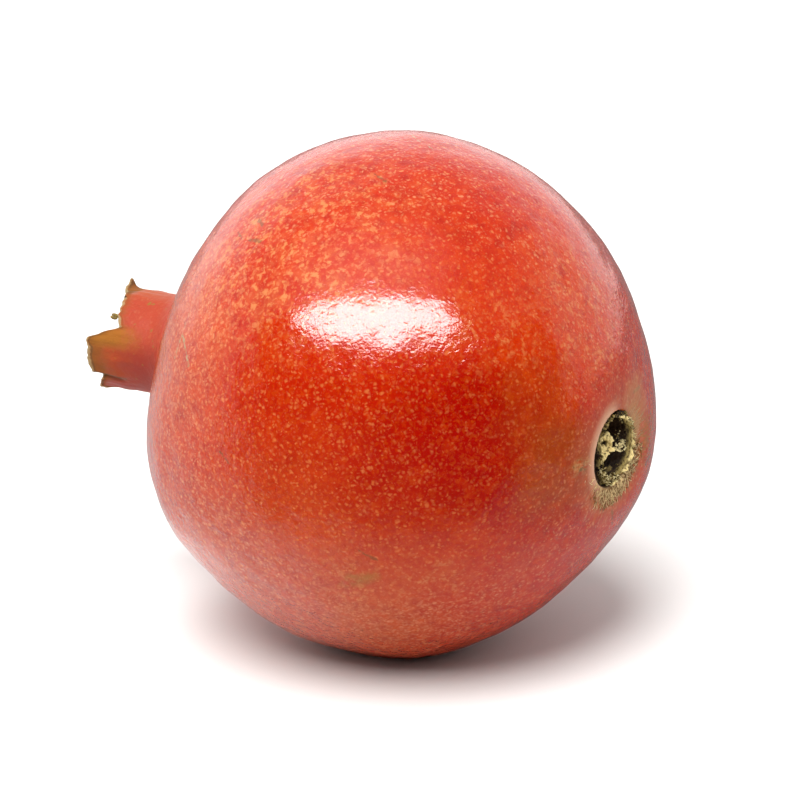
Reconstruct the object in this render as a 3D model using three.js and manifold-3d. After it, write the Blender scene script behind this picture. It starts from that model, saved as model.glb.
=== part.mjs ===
// A pomegranate lying on its side: the leathery rind grown in one with its tubular calyx, the
// dried stamens that fill the calyx, and the torn remains of the stalk in the stem scar.
// Millimetres, +Z up. The calyx points along -X and a little up, the stem scar along +X, and
// the origin is on the ground under the middle of the fruit, on its flat resting spot.
import * as THREE from 'three';
import { mergeVertices } from 'three/addons/utils/BufferGeometryUtils.js';
import Module from 'manifold-3d';

// ---------------------------------------------------------------- driving dimensions
const BODY_RADIUS = 43.8; // across the fruit's axis
const BODY_HALF_LENGTH = 42.9; // along the axis, from the middle to either pole
const RIDGE_COUNT = 6; // blunt ridges that run from the stem to the calyx
const RIDGE_HEIGHT = 0.3;
const RIDGE_TURN = 12; // degrees from the top to the first ridge
const AXIS_TILT = 2.8; // degrees by which the calyx end lies higher
const AXIS_BOW = 1.1; // how far both poles droop below the middle
const REST_HEIGHT = 43.7; // middle of the fruit above the ground

const DIMPLE_DEPTH = 1.6; // the rind sinks gently towards the stem
const DIMPLE_RADIUS = 7.5;
const PIT_RADIUS = 6.4; // the hole that the stalk broke out of
const PIT_FLOOR_RADIUS = 6.1;
const PIT_DEPTH = 5.6;
const PIT_LIP = 0.8; // the rind's rolled edge around the hole

const TUBE_RADIUS = 9.0; // calyx tube
const TUBE_FLARE = 0.25; // how much wider the tube is at its rim
const TUBE_WALL = 2.2;
const RIM_LEVEL = 53.2; // from the middle of the fruit, along the axis
const NECK_LEVEL = 47.0; // where the tube leaves its fillet
const SHOULDER_RADIUS = 16.0; // where the fillet leaves the round body
const CUP_FLOOR_LEVEL = 45.4;
const SEPAL_REACH = 6.0; // usual length of a sepal, beyond the rim's level
const SEPAL_EDGE = 0.9; // thickness at its dried edge

const GAP = 0.3; // between the rind and the dry pieces in its two hollows

const ROUND_STEPS = 48; // facets around the fruit

// Broad swellings (+) and hollows (-) of the rind. around: degrees from the top towards the
// back; along: degrees from the stem pole; height in mm; spread: degrees to a fall of 1/e.
const SWELLINGS = [
  { around: 20, along: 95, height: 0.4, spread: 24 },
  { around: 355, along: 130, height: 0.7, spread: 18 },
  { around: 325, along: 150, height: -2.0, spread: 16 },
  { around: 265, along: 150, height: -0.9, spread: 16 },
  { around: 235, along: 135, height: 1.7, spread: 14 },
  { around: 215, along: 110, height: 0.7, spread: 14 },
  { around: 195, along: 80, height: 1.3, spread: 20 },
  { around: 115, along: 30, height: 1.7, spread: 12 },
  { around: 110, along: 100, height: 0.8, spread: 16 },
];

// The rim is drawn out into six sepals. from: degrees around the tube, from the top towards
// the back, where a sepal begins; notch: how far above the rim's level the notch there ends;
// tip: half width of the outer end, and lean: where its middle is, both as shares of the
// sepal's half width; curl: how far the end bends outwards.
const SEPALS = [
  { from: -22.5, notch: 1.7, length: 5.5, tip: 0.12, lean: 0.45, curl: 3.2 },
  { from: 37.5, notch: 0.4, length: 5.8, tip: 0.35, lean: 0.0, curl: 1.0 },
  { from: 105, notch: 0.0, length: 5.2, tip: 0.4, lean: 0.1, curl: 0.4 },
  { from: 180, notch: 0.5, length: 6.3, tip: 0.15, lean: -0.1, curl: 0.8 },
  { from: 232.5, notch: 3.3, length: 6.0, tip: 0.7, lean: -0.2, curl: 0.1 },
  { from: 300, notch: 0.0, length: 1.9, tip: 0.1, lean: 0.8, curl: 0.0 },
];

const STAMEN_COUNT = 34;
const STAMEN_RADIUS = 0.28;
const ANTHER_RADIUS = 0.62;
const STAMEN_TOP = 52.6; // level of the anthers, just inside the rim
const TALL_STAMEN = { around: 320, radius: 6.1, top: 55.7 }; // the one that stands out of the cup

// ---------------------------------------------------------------- solids and their joins
const wasm = await Module();
wasm.setup();

// A closed three.js geometry as a solid: equal corners become one, empty faces go.
function solid(geometry) {
  const bare = geometry.clone();
  bare.deleteAttribute('normal');
  bare.deleteAttribute('uv');
  const merged = mergeVertices(bare, 1e-4);
  const corners = merged.index.array;
  const faces = [];
  for (let i = 0; i < corners.length; i += 3) {
    const [a, b, c] = [corners[i], corners[i + 1], corners[i + 2]];
    if (a !== b && b !== c && c !== a) faces.push(a, b, c);
  }
  return new wasm.Manifold(new wasm.Mesh({
    numProp: 3,
    vertProperties: new Float32Array(merged.attributes.position.array),
    triVerts: new Uint32Array(faces),
  }));
}

function geometryOf(manifold) {
  const mesh = manifold.getMesh();
  const geometry = new THREE.BufferGeometry();
  geometry.setAttribute('position', new THREE.BufferAttribute(mesh.vertProperties, 3));
  geometry.setIndex(new THREE.BufferAttribute(mesh.triVerts, 1));
  geometry.computeVertexNormals();
  return geometry;
}

const radians = THREE.MathUtils.degToRad;
const smooth = THREE.MathUtils.smoothstep;

// The point at an angle around the fruit's own axis, which is +Y here: 0 is the top (+Z).
function around(degrees, radius, level) {
  const angle = radians(degrees);
  return new THREE.Vector3(radius * Math.sin(angle), level, radius * Math.cos(angle));
}

function turnOf(point) {
  return THREE.MathUtils.radToDeg(Math.atan2(point.x, point.z));
}

// Moves every corner of a geometry by a rule of its own.
function reshape(geometry, rule) {
  const position = geometry.attributes.position;
  const point = new THREE.Vector3();
  for (let i = 0; i < position.count; i += 1) {
    point.fromBufferAttribute(position, i);
    rule(point);
    position.setXYZ(i, point.x, point.y, point.z);
  }
  return geometry;
}

// ---------------------------------------------------------------- from upright to at rest
// Bends a piece along the fruit's drooping axis, turns the axis from +Y to -X and lifts the
// middle of the fruit to its height above the ground.
function layDown(geometry) {
  reshape(geometry, (point) => {
    point.z -= AXIS_BOW * (point.y / BODY_HALF_LENGTH) ** 2;
  });
  const tilt = radians(AXIS_TILT);
  const side = new THREE.Vector3(0, 1, 0);
  const calyx = new THREE.Vector3(-Math.cos(tilt), 0, Math.sin(tilt));
  const top = new THREE.Vector3(Math.sin(tilt), 0, Math.cos(tilt));
  const turn = new THREE.Matrix4().makeBasis(side, calyx, top);
  return geometry.applyMatrix4(turn.setPosition(0, 0, REST_HEIGHT));
}

// ---------------------------------------------------------------- rind
// A level on the calyx tube: 0 where it leaves its fillet, 1 at its rim.
function tubeLevel(rise) {
  return THREE.MathUtils.lerp(NECK_LEVEL, RIM_LEVEL, rise);
}

// The half section of the rind, from the middle of the stem pit to the middle of the cup.
function rindProfile() {
  const bodyPoint = (degrees) => {
    const angle = radians(degrees);
    const across = Math.sin(angle) / BODY_RADIUS;
    const along = Math.cos(angle) / BODY_HALF_LENGTH;
    const reach = 1 / Math.hypot(across, along);
    const radius = reach * Math.sin(angle);
    const sunk = degrees < 90 ? DIMPLE_DEPTH * Math.exp(-((radius / DIMPLE_RADIUS) ** 2)) : 0;
    return new THREE.Vector2(radius, -reach * Math.cos(angle) + sunk);
  };
  const firstAngle = THREE.MathUtils.radToDeg(Math.asin((PIT_RADIUS + PIT_LIP) / BODY_RADIUS));
  const lastAngle = 180 - THREE.MathUtils.radToDeg(Math.asin(SHOULDER_RADIUS / BODY_RADIUS));
  const lip = bodyPoint(firstAngle);
  const shoulder = bodyPoint(lastAngle);
  const floor = lip.y + PIT_DEPTH;
  const points = [
    new THREE.Vector2(0, floor),
    new THREE.Vector2(PIT_FLOOR_RADIUS / 2, floor),
    new THREE.Vector2(PIT_FLOOR_RADIUS, floor),
    new THREE.Vector2((PIT_FLOOR_RADIUS + PIT_RADIUS) / 2, lip.y + PIT_DEPTH / 2),
    new THREE.Vector2(PIT_RADIUS, lip.y + PIT_LIP),
    new THREE.Vector2(PIT_RADIUS + PIT_LIP * 0.3, lip.y + PIT_LIP * 0.3),
  ];
  const bodySteps = 30;
  for (let i = 0; i < bodySteps; i += 1) {
    points.push(bodyPoint(firstAngle + ((lastAngle - firstAngle) * i) / bodySteps));
  }
  // the fillet follows the body's slope at the shoulder and ends along the tube
  const beside = bodyPoint(lastAngle - 1);
  const slope = (shoulder.y - beside.y) / (shoulder.x - beside.x);
  const corner = new THREE.Vector2(TUBE_RADIUS, shoulder.y + slope * (TUBE_RADIUS - shoulder.x));
  const neck = new THREE.Vector2(TUBE_RADIUS, NECK_LEVEL);
  points.push(...new THREE.QuadraticBezierCurve(shoulder, corner, neck).getPoints(5));
  const rim = TUBE_RADIUS + TUBE_FLARE;
  const inner = TUBE_RADIUS - TUBE_WALL;
  const wallSteps = 6;
  for (let i = 1; i < wallSteps; i += 1) {
    const rise = i / wallSteps;
    points.push(new THREE.Vector2(TUBE_RADIUS + TUBE_FLARE * rise, tubeLevel(rise)));
  }
  points.push(new THREE.Vector2(rim, RIM_LEVEL - 0.3));
  points.push(new THREE.Vector2(rim - TUBE_WALL / 2, RIM_LEVEL));
  points.push(new THREE.Vector2(rim - TUBE_WALL, RIM_LEVEL - 0.3));
  for (let i = wallSteps - 1; i > 0; i -= 1) {
    const rise = i / wallSteps;
    points.push(new THREE.Vector2(inner + TUBE_FLARE * rise, tubeLevel(rise)));
  }
  points.push(
    new THREE.Vector2(inner - 0.2, CUP_FLOOR_LEVEL + 1),
    new THREE.Vector2(inner - 1.2, CUP_FLOOR_LEVEL),
    new THREE.Vector2(0, CUP_FLOOR_LEVEL),
  );
  return points;
}

// The rind's own relief: blunt ridges and broad swellings, fading out on the neck and the pit.
function swell(point) {
  const reach = point.length();
  const out = point.clone().divideScalar(reach);
  const fromAxis = Math.hypot(point.x, point.z);
  const turn = turnOf(point);
  const across = fromAxis / reach;
  let height = RIDGE_HEIGHT * across ** 2 * Math.cos(radians(RIDGE_COUNT * (turn - RIDGE_TURN)));
  for (const bump of SWELLINGS) {
    const along = radians(bump.along);
    const centre = around(bump.around, Math.sin(along), -Math.cos(along));
    height += bump.height * Math.exp((out.dot(centre) - 1) / radians(bump.spread) ** 2);
  }
  const fade = point.y > 0
    ? smooth(fromAxis, TUBE_RADIUS, SHOULDER_RADIUS)
    : smooth(fromAxis, PIT_RADIUS, 2 * PIT_RADIUS);
  point.addScaledVector(out, height * fade);
}

// How far the rim reaches out at an angle around the tube, and how far it curls outwards there.
function sepalAt(turn) {
  const first = SEPALS[0].from;
  const wrapped = THREE.MathUtils.euclideanModulo(turn - first, 360) + first;
  const number = SEPALS.findLastIndex((each) => wrapped >= each.from);
  const sepal = SEPALS[number];
  const next = SEPALS[(number + 1) % SEPALS.length];
  const half = THREE.MathUtils.euclideanModulo(next.from - sepal.from, 360) / 2;
  const side = (wrapped - sepal.from - half) / half;
  const rising = (1 + side) / (1 + sepal.lean - sepal.tip);
  const falling = (1 - side) / (1 - sepal.lean - sepal.tip);
  const full = Math.min(1, rising, falling);
  const notch = side < sepal.lean ? sepal.notch : next.notch;
  return { reach: THREE.MathUtils.lerp(notch, sepal.length, full), curl: sepal.curl };
}

// Draws the tube's rim out into the sepals, which thin towards their dried ends.
function drawOut(point) {
  if (point.y <= NECK_LEVEL) return;
  const { reach, curl } = sepalAt(turnOf(point));
  point.y += (reach * (point.y - NECK_LEVEL)) / (RIM_LEVEL - NECK_LEVEL);
  const beyond = Math.max(0, point.y - RIM_LEVEL) / SEPAL_REACH;
  const radius = Math.hypot(point.x, point.z);
  const middle = TUBE_RADIUS + TUBE_FLARE - TUBE_WALL / 2;
  const thinned = THREE.MathUtils.lerp(1, SEPAL_EDGE / TUBE_WALL, Math.min(1, beyond));
  const moved = middle + (radius - middle) * thinned + curl * beyond ** 3;
  point.x *= moved / radius;
  point.z *= moved / radius;
}

function rindGeometry() {
  const turned = new THREE.LatheGeometry(rindProfile(), ROUND_STEPS);
  const rind = solid(layDown(reshape(reshape(turned, swell), drawOut)));
  // the ground presses the lowest part of the rind flat
  const deep = 20;
  const ground = new THREE.BoxGeometry(2 * BODY_RADIUS, 2 * BODY_RADIUS, deep);
  ground.translate(0, 0, -deep / 2);
  return geometryOf(rind.subtract(solid(ground)));
}

// ---------------------------------------------------------------- dried stamens
// A felted mat on the cup's floor and the filaments that rise from it, each with its anther.
function stamenGeometry(root, tip) {
  const length = root.distanceTo(tip);
  const filament = new THREE.CylinderGeometry(STAMEN_RADIUS, STAMEN_RADIUS, length, 5);
  filament.translate(0, length / 2, 0);
  const anther = new THREE.IcosahedronGeometry(ANTHER_RADIUS, 0);
  anther.scale(1, 1.3, 1);
  anther.translate(0, length, 0);
  const lean = new THREE.Quaternion().setFromUnitVectors(
    new THREE.Vector3(0, 1, 0),
    tip.clone().sub(root).normalize(),
  );
  return [filament, anther].map((piece) => piece.applyQuaternion(lean).translate(...root));
}

function stamensGeometry() {
  const cupRadius = TUBE_RADIUS - TUBE_WALL - 0.2;
  const matTop = CUP_FLOOR_LEVEL + 1.6;
  const matRadius = cupRadius - 1.2 - GAP;
  const mat = new THREE.CylinderGeometry(matRadius + 0.5, matRadius, matTop - CUP_FLOOR_LEVEL - GAP, 20);
  mat.translate(0, (matTop + CUP_FLOOR_LEVEL + GAP) / 2, 0);
  let stamens = solid(layDown(mat));
  const goldenAngle = 137.5;
  for (let i = 0; i < STAMEN_COUNT; i += 1) {
    const share = Math.sqrt((i + 0.5) / STAMEN_COUNT);
    const root = around(i * goldenAngle, share * (matRadius - 0.4), matTop - 0.8);
    const top = STAMEN_TOP - 1.6 * Math.sin(2.4 * i) ** 2;
    const tip = around(i * goldenAngle + 14, share * (cupRadius - ANTHER_RADIUS - 0.75), top);
    for (const piece of stamenGeometry(root, tip)) stamens = stamens.add(solid(layDown(piece)));
  }
  const root = around(TALL_STAMEN.around, matRadius - 0.4, matTop - 0.8);
  const tip = around(TALL_STAMEN.around, TALL_STAMEN.radius, TALL_STAMEN.top);
  for (const piece of stamenGeometry(root, tip)) stamens = stamens.add(solid(layDown(piece)));
  return geometryOf(stamens);
}

// ---------------------------------------------------------------- remains of the stalk
// The torn bark of the stalk stands as a ragged ring on a thin plate. Its woody core, with the
// hole of the pith, stands in the middle, and two strips of wood run from it to the ring.
function stalkRemainsGeometry() {
  const lipLevel = rindProfile().find((point) => point.x > PIT_RADIUS + 0.9 * PIT_LIP).y;
  const floor = lipLevel + PIT_DEPTH - GAP;
  const plateTop = floor - 0.8;
  const ringTop = lipLevel + 0.3;
  const ringWall = 0.7;
  const section = [
    new THREE.Vector2(0, plateTop),
    new THREE.Vector2(PIT_FLOOR_RADIUS - GAP - ringWall, plateTop),
    new THREE.Vector2(PIT_RADIUS - GAP - ringWall, ringTop),
    new THREE.Vector2(PIT_RADIUS - GAP, ringTop),
    new THREE.Vector2(PIT_FLOOR_RADIUS - GAP, floor),
    new THREE.Vector2(0, floor),
  ];
  const ring = new THREE.LatheGeometry(section, 32);
  reshape(ring, (point) => {
    const angle = radians(turnOf(point));
    const torn = 0.8 + 0.5 * Math.sin(3 * angle - 1) + 0.3 * Math.sin(7 * angle);
    if (point.y < ringTop + 0.1) point.y += torn;
  });
  let remains = solid(layDown(ring));

  const coreTop = lipLevel + 1.5;
  const coreHeight = floor - 0.3 - coreTop;
  const coreAt = around(27, 0.7, coreTop + coreHeight / 2);
  const core = new THREE.CylinderGeometry(1.9, 1.6, coreHeight, 10);
  remains = remains.add(solid(layDown(core.translate(...coreAt))));
  for (const strip of [{ turn: 100, top: 2.3 }, { turn: 205, top: 2.9 }]) {
    const height = floor - 0.3 - (lipLevel + strip.top);
    const length = PIT_FLOOR_RADIUS - GAP - 0.3;
    const wood = new THREE.BoxGeometry(1.1, height, length);
    wood.translate(0, floor - 0.3 - height / 2, length / 2);
    wood.rotateY(radians(strip.turn));
    remains = remains.add(solid(layDown(wood)));
  }
  const pith = new THREE.CylinderGeometry(0.55, 0.55, 3, 8);
  return geometryOf(remains.subtract(solid(layDown(pith.translate(coreAt.x, coreTop, coreAt.z)))));
}

// ---------------------------------------------------------------- the fruit
const rindSkin = new THREE.MeshStandardMaterial({ color: '#c8381c', roughness: 0.3, metalness: 0 });
const dryStamen = new THREE.MeshStandardMaterial({ color: '#8a6a2c', roughness: 0.9, metalness: 0 });
const dryStalk = new THREE.MeshStandardMaterial({ color: '#a08a58', roughness: 0.9, metalness: 0 });

function piece(name, geometry, material) {
  const mesh = new THREE.Mesh(geometry, material);
  mesh.name = name;
  return mesh;
}

const pomegranate = new THREE.Group();
pomegranate.add(
  piece('fruit', rindGeometry(), rindSkin),
  piece('stamens', stamensGeometry(), dryStamen),
  piece('stem_stub', stalkRemainsGeometry(), dryStalk),
);

export default pomegranate;
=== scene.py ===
# A pomegranate lying on its side: the leathery rind drawn out into its crown, the dried stamens
# that fill the crown, and the torn remains of the stalk in the scar at the other end.
import math

import bpy
import numpy as np
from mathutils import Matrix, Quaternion, Vector


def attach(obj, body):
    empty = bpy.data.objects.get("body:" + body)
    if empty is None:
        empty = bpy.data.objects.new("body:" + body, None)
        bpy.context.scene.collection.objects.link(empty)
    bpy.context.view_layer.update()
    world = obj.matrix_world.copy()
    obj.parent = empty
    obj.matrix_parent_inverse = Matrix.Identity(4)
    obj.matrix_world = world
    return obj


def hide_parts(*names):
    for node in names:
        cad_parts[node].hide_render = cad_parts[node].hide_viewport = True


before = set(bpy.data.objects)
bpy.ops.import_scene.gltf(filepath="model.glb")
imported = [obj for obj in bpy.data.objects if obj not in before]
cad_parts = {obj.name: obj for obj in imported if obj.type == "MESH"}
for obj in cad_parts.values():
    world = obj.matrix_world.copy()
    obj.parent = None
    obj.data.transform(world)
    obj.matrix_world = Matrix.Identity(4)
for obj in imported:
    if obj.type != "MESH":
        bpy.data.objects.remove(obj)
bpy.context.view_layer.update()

# ---------------------------------------------------------------------------------------------
# The rind's form. The fruit is one grown shell of leathery skin, nearly round, with faint ridges
# and broad swellings from the seed chambers under it. It grew round the flower's base, so at one
# end the shell runs on into a thick tube whose rim is torn into six sepals.

# sizes in mm, upright along +Y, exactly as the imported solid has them; settle() lays them down
BODY_RADIUS = 43.8  # across the fruit's axis
BODY_HALF_LENGTH = 42.9
RIDGE_COUNT = 6
RIDGE_HEIGHT = 0.3
RIDGE_TURN = 12.0  # degrees from the top to the first ridge
AXIS_TILT = 2.8  # degrees by which the crown lies higher
AXIS_BOW = 1.1  # both poles droop below the middle
REST_HEIGHT = 43.7
DIMPLE_DEPTH = 1.6
DIMPLE_RADIUS = 7.5
PIT_RADIUS = 6.4  # the hole that the stalk broke out of
PIT_FLOOR_RADIUS = 6.1
PIT_DEPTH = 5.6
PIT_LIP = 0.8
TUBE_RADIUS = 9.0
TUBE_FLARE = 0.25
TUBE_WALL = 2.2
RIM_LEVEL = 53.2
NECK_LEVEL = 47.0
SHOULDER_RADIUS = 16.0
CUP_FLOOR_LEVEL = 45.4
SEPAL_REACH = 6.0
SEPAL_EDGE = 0.9
FACETS = 320  # round the fruit, under a millimetre each
FAR_FROM_EDGE = 20.0

# around: degrees from the top towards the back; along: degrees from the stem pole; height in mm;
# spread: degrees to a fall of 1/e
SWELLINGS = (
    {"around": 20, "along": 95, "height": 0.4, "spread": 24},
    {"around": 355, "along": 130, "height": 0.7, "spread": 18},
    {"around": 325, "along": 150, "height": -2.0, "spread": 16},
    {"around": 265, "along": 150, "height": -0.9, "spread": 16},
    {"around": 235, "along": 135, "height": 1.7, "spread": 14},
    {"around": 215, "along": 110, "height": 0.7, "spread": 14},
    {"around": 195, "along": 80, "height": 1.3, "spread": 20},
    {"around": 115, "along": 30, "height": 1.7, "spread": 12},
    {"around": 110, "along": 100, "height": 0.8, "spread": 16},
)
# turn: where a sepal begins; notch: the torn gap's height there; tip and lean: half width and
# middle of the outer end, as shares of the sepal's half width; curl: how far the end bends
# out; bend: how suddenly
SEPALS = (
    {"turn": -22.5, "notch": 1.7, "length": 5.5, "tip": 0.12, "lean": 0.45, "curl": 5.4, "bend": 8},
    {"turn": 37.5, "notch": 0.4, "length": 5.8, "tip": 0.35, "lean": 0.0, "curl": 1.0, "bend": 3},
    {"turn": 105.0, "notch": 0.0, "length": 5.2, "tip": 0.4, "lean": 0.1, "curl": 0.4, "bend": 3},
    {"turn": 180.0, "notch": 0.5, "length": 6.3, "tip": 0.15, "lean": -0.1, "curl": 0.8, "bend": 3},
    {"turn": 232.5, "notch": 3.3, "length": 6.0, "tip": 0.7, "lean": -0.2, "curl": 0.1, "bend": 3},
    {"turn": 300.0, "notch": 0.0, "length": 1.9, "tip": 0.1, "lean": 0.8, "curl": 0.0, "bend": 3},
)
# dry folds that run down the tube from the gaps between sepals: turn, depth, half width in
# degrees, and the levels where they start and are deepest
FOLDS = (
    (232.5, 0.75, 2.4, 50.5, 54.5),
    (298.0, 0.35, 3.0, 50.0, 54.0),
    (105.0, 0.5, 2.5, 49.0, 53.0),
)


def around(degrees, radius, level):
    """The point at an angle round the fruit's own axis: 0 is the top, 90 the back, 270 the front."""
    turn = np.radians(degrees)
    parts = np.broadcast_arrays(radius * np.sin(turn), level, radius * np.cos(turn))
    return np.stack(parts, axis=-1).astype(float)


def all_round(count):
    """Turns in degrees, evenly spaced round the fruit's own axis."""
    return np.arange(count) * 360 / count


def on_body(turn, along):
    """The point of the round body at a turn and an angle from the stem pole."""
    radius, level = body_section(np.asarray(along, float))
    return around(turn, radius, level)


def ramp(value, low, high):
    """0 below low, 1 above high and smooth between."""
    share = np.clip((value - low) / (high - low), 0, 1)
    return share * share * (3 - 2 * share)


def ripples(points, wavelength, seed, waves=28):
    """Smooth random relief with a spread of 1: waves that cross the points in all directions."""
    draw = np.random.default_rng(seed)
    ways = draw.normal(size=(waves, 3))
    ways /= np.linalg.norm(ways, axis=1, keepdims=True)
    ways *= 2 * np.pi / (wavelength * draw.uniform(0.7, 1.4, (waves, 1)))
    crossing = np.sin(points @ ways.T + draw.uniform(0, 2 * np.pi, waves))
    return crossing.sum(axis=-1) * math.sqrt(2 / waves)


def body_section(degrees):
    """Radius and level of the round body at an angle from its stem pole."""
    angle = np.radians(degrees)
    reach = 1 / np.hypot(np.sin(angle) / BODY_RADIUS, np.cos(angle) / BODY_HALF_LENGTH)
    radius = reach * np.sin(angle)
    sunk = np.where(degrees < 90, DIMPLE_DEPTH * np.exp(-((radius / DIMPLE_RADIUS) ** 2)), 0)
    return radius, sunk - reach * np.cos(angle)


def arch(start, corner, end, steps):
    """Points of a curve that leaves start towards corner and reaches end from it."""
    share = np.linspace(0, 1, steps, endpoint=False)[:, None]
    start, corner, end = np.array(start), np.array(corner), np.array(end)
    return (1 - share) ** 2 * start + 2 * share * (1 - share) * corner + share**2 * end


# where the pit's lip and the crown's shoulder leave the round body
FIRST_ANGLE = math.degrees(math.asin((PIT_RADIUS + PIT_LIP) / BODY_RADIUS))
LAST_ANGLE = 180 - math.degrees(math.asin(SHOULDER_RADIUS / BODY_RADIUS))
LIP = np.array(body_section(np.array(FIRST_ANGLE)))
SHOULDER = np.array(body_section(np.array(LAST_ANGLE)))
PIT_FLOOR_LEVEL = LIP[1] + PIT_DEPTH
INNER_RADIUS = TUBE_RADIUS - TUBE_WALL


def rind_section():
    """The rind's half section from the middle of the pit to the middle of the cup, and how many of
    its points lie on the body's side of the rim."""
    pit_wall = (PIT_RADIUS, LIP[1] + 1.6 * PIT_LIP)
    beside = np.array(body_section(np.array(LAST_ANGLE - 1)))
    slope = (SHOULDER[1] - beside[1]) / (SHOULDER[0] - beside[0])
    corner = (TUBE_RADIUS, SHOULDER[1] + slope * (TUBE_RADIUS - SHOULDER[0]))
    rim = TUBE_RADIUS + TUBE_FLARE
    wall_rows = 34
    outer = [(TUBE_RADIUS, NECK_LEVEL), (rim, RIM_LEVEL - 0.4)]
    inner = [(rim - TUBE_WALL, RIM_LEVEL - 0.4), (INNER_RADIUS, NECK_LEVEL)]
    parts = [
        np.linspace((0, PIT_FLOOR_LEVEL), (PIT_FLOOR_RADIUS - 0.5, PIT_FLOOR_LEVEL), 7, endpoint=False),
        arch((PIT_FLOOR_RADIUS - 0.5, PIT_FLOOR_LEVEL), (PIT_FLOOR_RADIUS, PIT_FLOOR_LEVEL),
             (PIT_FLOOR_RADIUS, PIT_FLOOR_LEVEL - 0.5), 3),
        np.linspace((PIT_FLOOR_RADIUS, PIT_FLOOR_LEVEL - 0.5), pit_wall, 9, endpoint=False),
        arch(pit_wall, (PIT_RADIUS, LIP[1]), tuple(LIP), 9),
        np.stack(body_section(np.linspace(FIRST_ANGLE, LAST_ANGLE, 176, endpoint=False)), axis=1),
        arch(tuple(SHOULDER), corner, outer[0], 14),
        np.linspace(*outer, wall_rows, endpoint=False),
        arch(outer[1], (rim, RIM_LEVEL), (rim - TUBE_WALL / 2, RIM_LEVEL), 4),
    ]
    before_rim = sum(len(part) for part in parts)
    parts += [
        arch((rim - TUBE_WALL / 2, RIM_LEVEL), (rim - TUBE_WALL, RIM_LEVEL), inner[0], 4),
        np.linspace(*inner, 22, endpoint=False),
        arch(inner[1], (INNER_RADIUS, CUP_FLOOR_LEVEL), (INNER_RADIUS - 1.4, CUP_FLOOR_LEVEL), 5),
        np.linspace((INNER_RADIUS - 1.4, CUP_FLOOR_LEVEL), (0, CUP_FLOOR_LEVEL), 6),
    ]
    return np.concatenate(parts), before_rim


def swell(points):
    """Adds the ridges, the swellings and the skin's gentle unevenness, outwards from the middle."""
    reach = np.linalg.norm(points, axis=-1, keepdims=True)
    out = points / reach
    from_axis = np.hypot(points[..., 0], points[..., 2])
    turn = np.degrees(np.arctan2(points[..., 0], points[..., 2]))
    ridges = np.cos(np.radians(RIDGE_COUNT * (turn - RIDGE_TURN)))
    height = RIDGE_HEIGHT * (from_axis / reach[..., 0]) ** 2 * ridges
    for bump in SWELLINGS:
        angle = math.radians(bump["along"])
        centre = around(bump["around"], math.sin(angle), -math.cos(angle))
        height += bump["height"] * np.exp((out @ centre - 1) / math.radians(bump["spread"]) ** 2)
    # unevenness of a few hundredths of a mm, broad, middling and fine
    height += 0.07 * ripples(points, 15, 1) + 0.03 * ripples(points, 6, 2) + 0.010 * ripples(points, 2.6, 3)
    at_tube = ramp(from_axis, TUBE_RADIUS, SHOULDER_RADIUS)
    at_pit = ramp(from_axis, PIT_RADIUS, 2 * PIT_RADIUS)
    height *= np.where(points[..., 1] > 0, at_tube, at_pit)
    return points + out * height[..., None]


def sepal_at(turn):
    """How far the rim reaches out at each turn round the tube, and how far it curls outwards."""
    first = SEPALS[0]["turn"]
    wrapped = (turn - first) % 360 + first
    starts = np.array([each["turn"] for each in SEPALS])
    number = np.searchsorted(starts, wrapped, side="right") - 1
    after = (number + 1) % len(SEPALS)
    own = {key: np.array([each[key] for each in SEPALS])[number] for key in SEPALS[0]}
    half = ((starts[after] - starts[number]) % 360) / 2
    side = (wrapped - own["turn"] - half) / half
    rising = (1 + side) / (1 + own["lean"] - own["tip"])
    falling = (1 - side) / (1 - own["lean"] - own["tip"])
    full = np.minimum(1, np.minimum(rising, falling))
    next_notch = np.array([each["notch"] for each in SEPALS])[after]
    notch = np.where(side < own["lean"], own["notch"], next_notch)
    return notch + (own["length"] - notch) * full, own["curl"], own["bend"]


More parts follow.
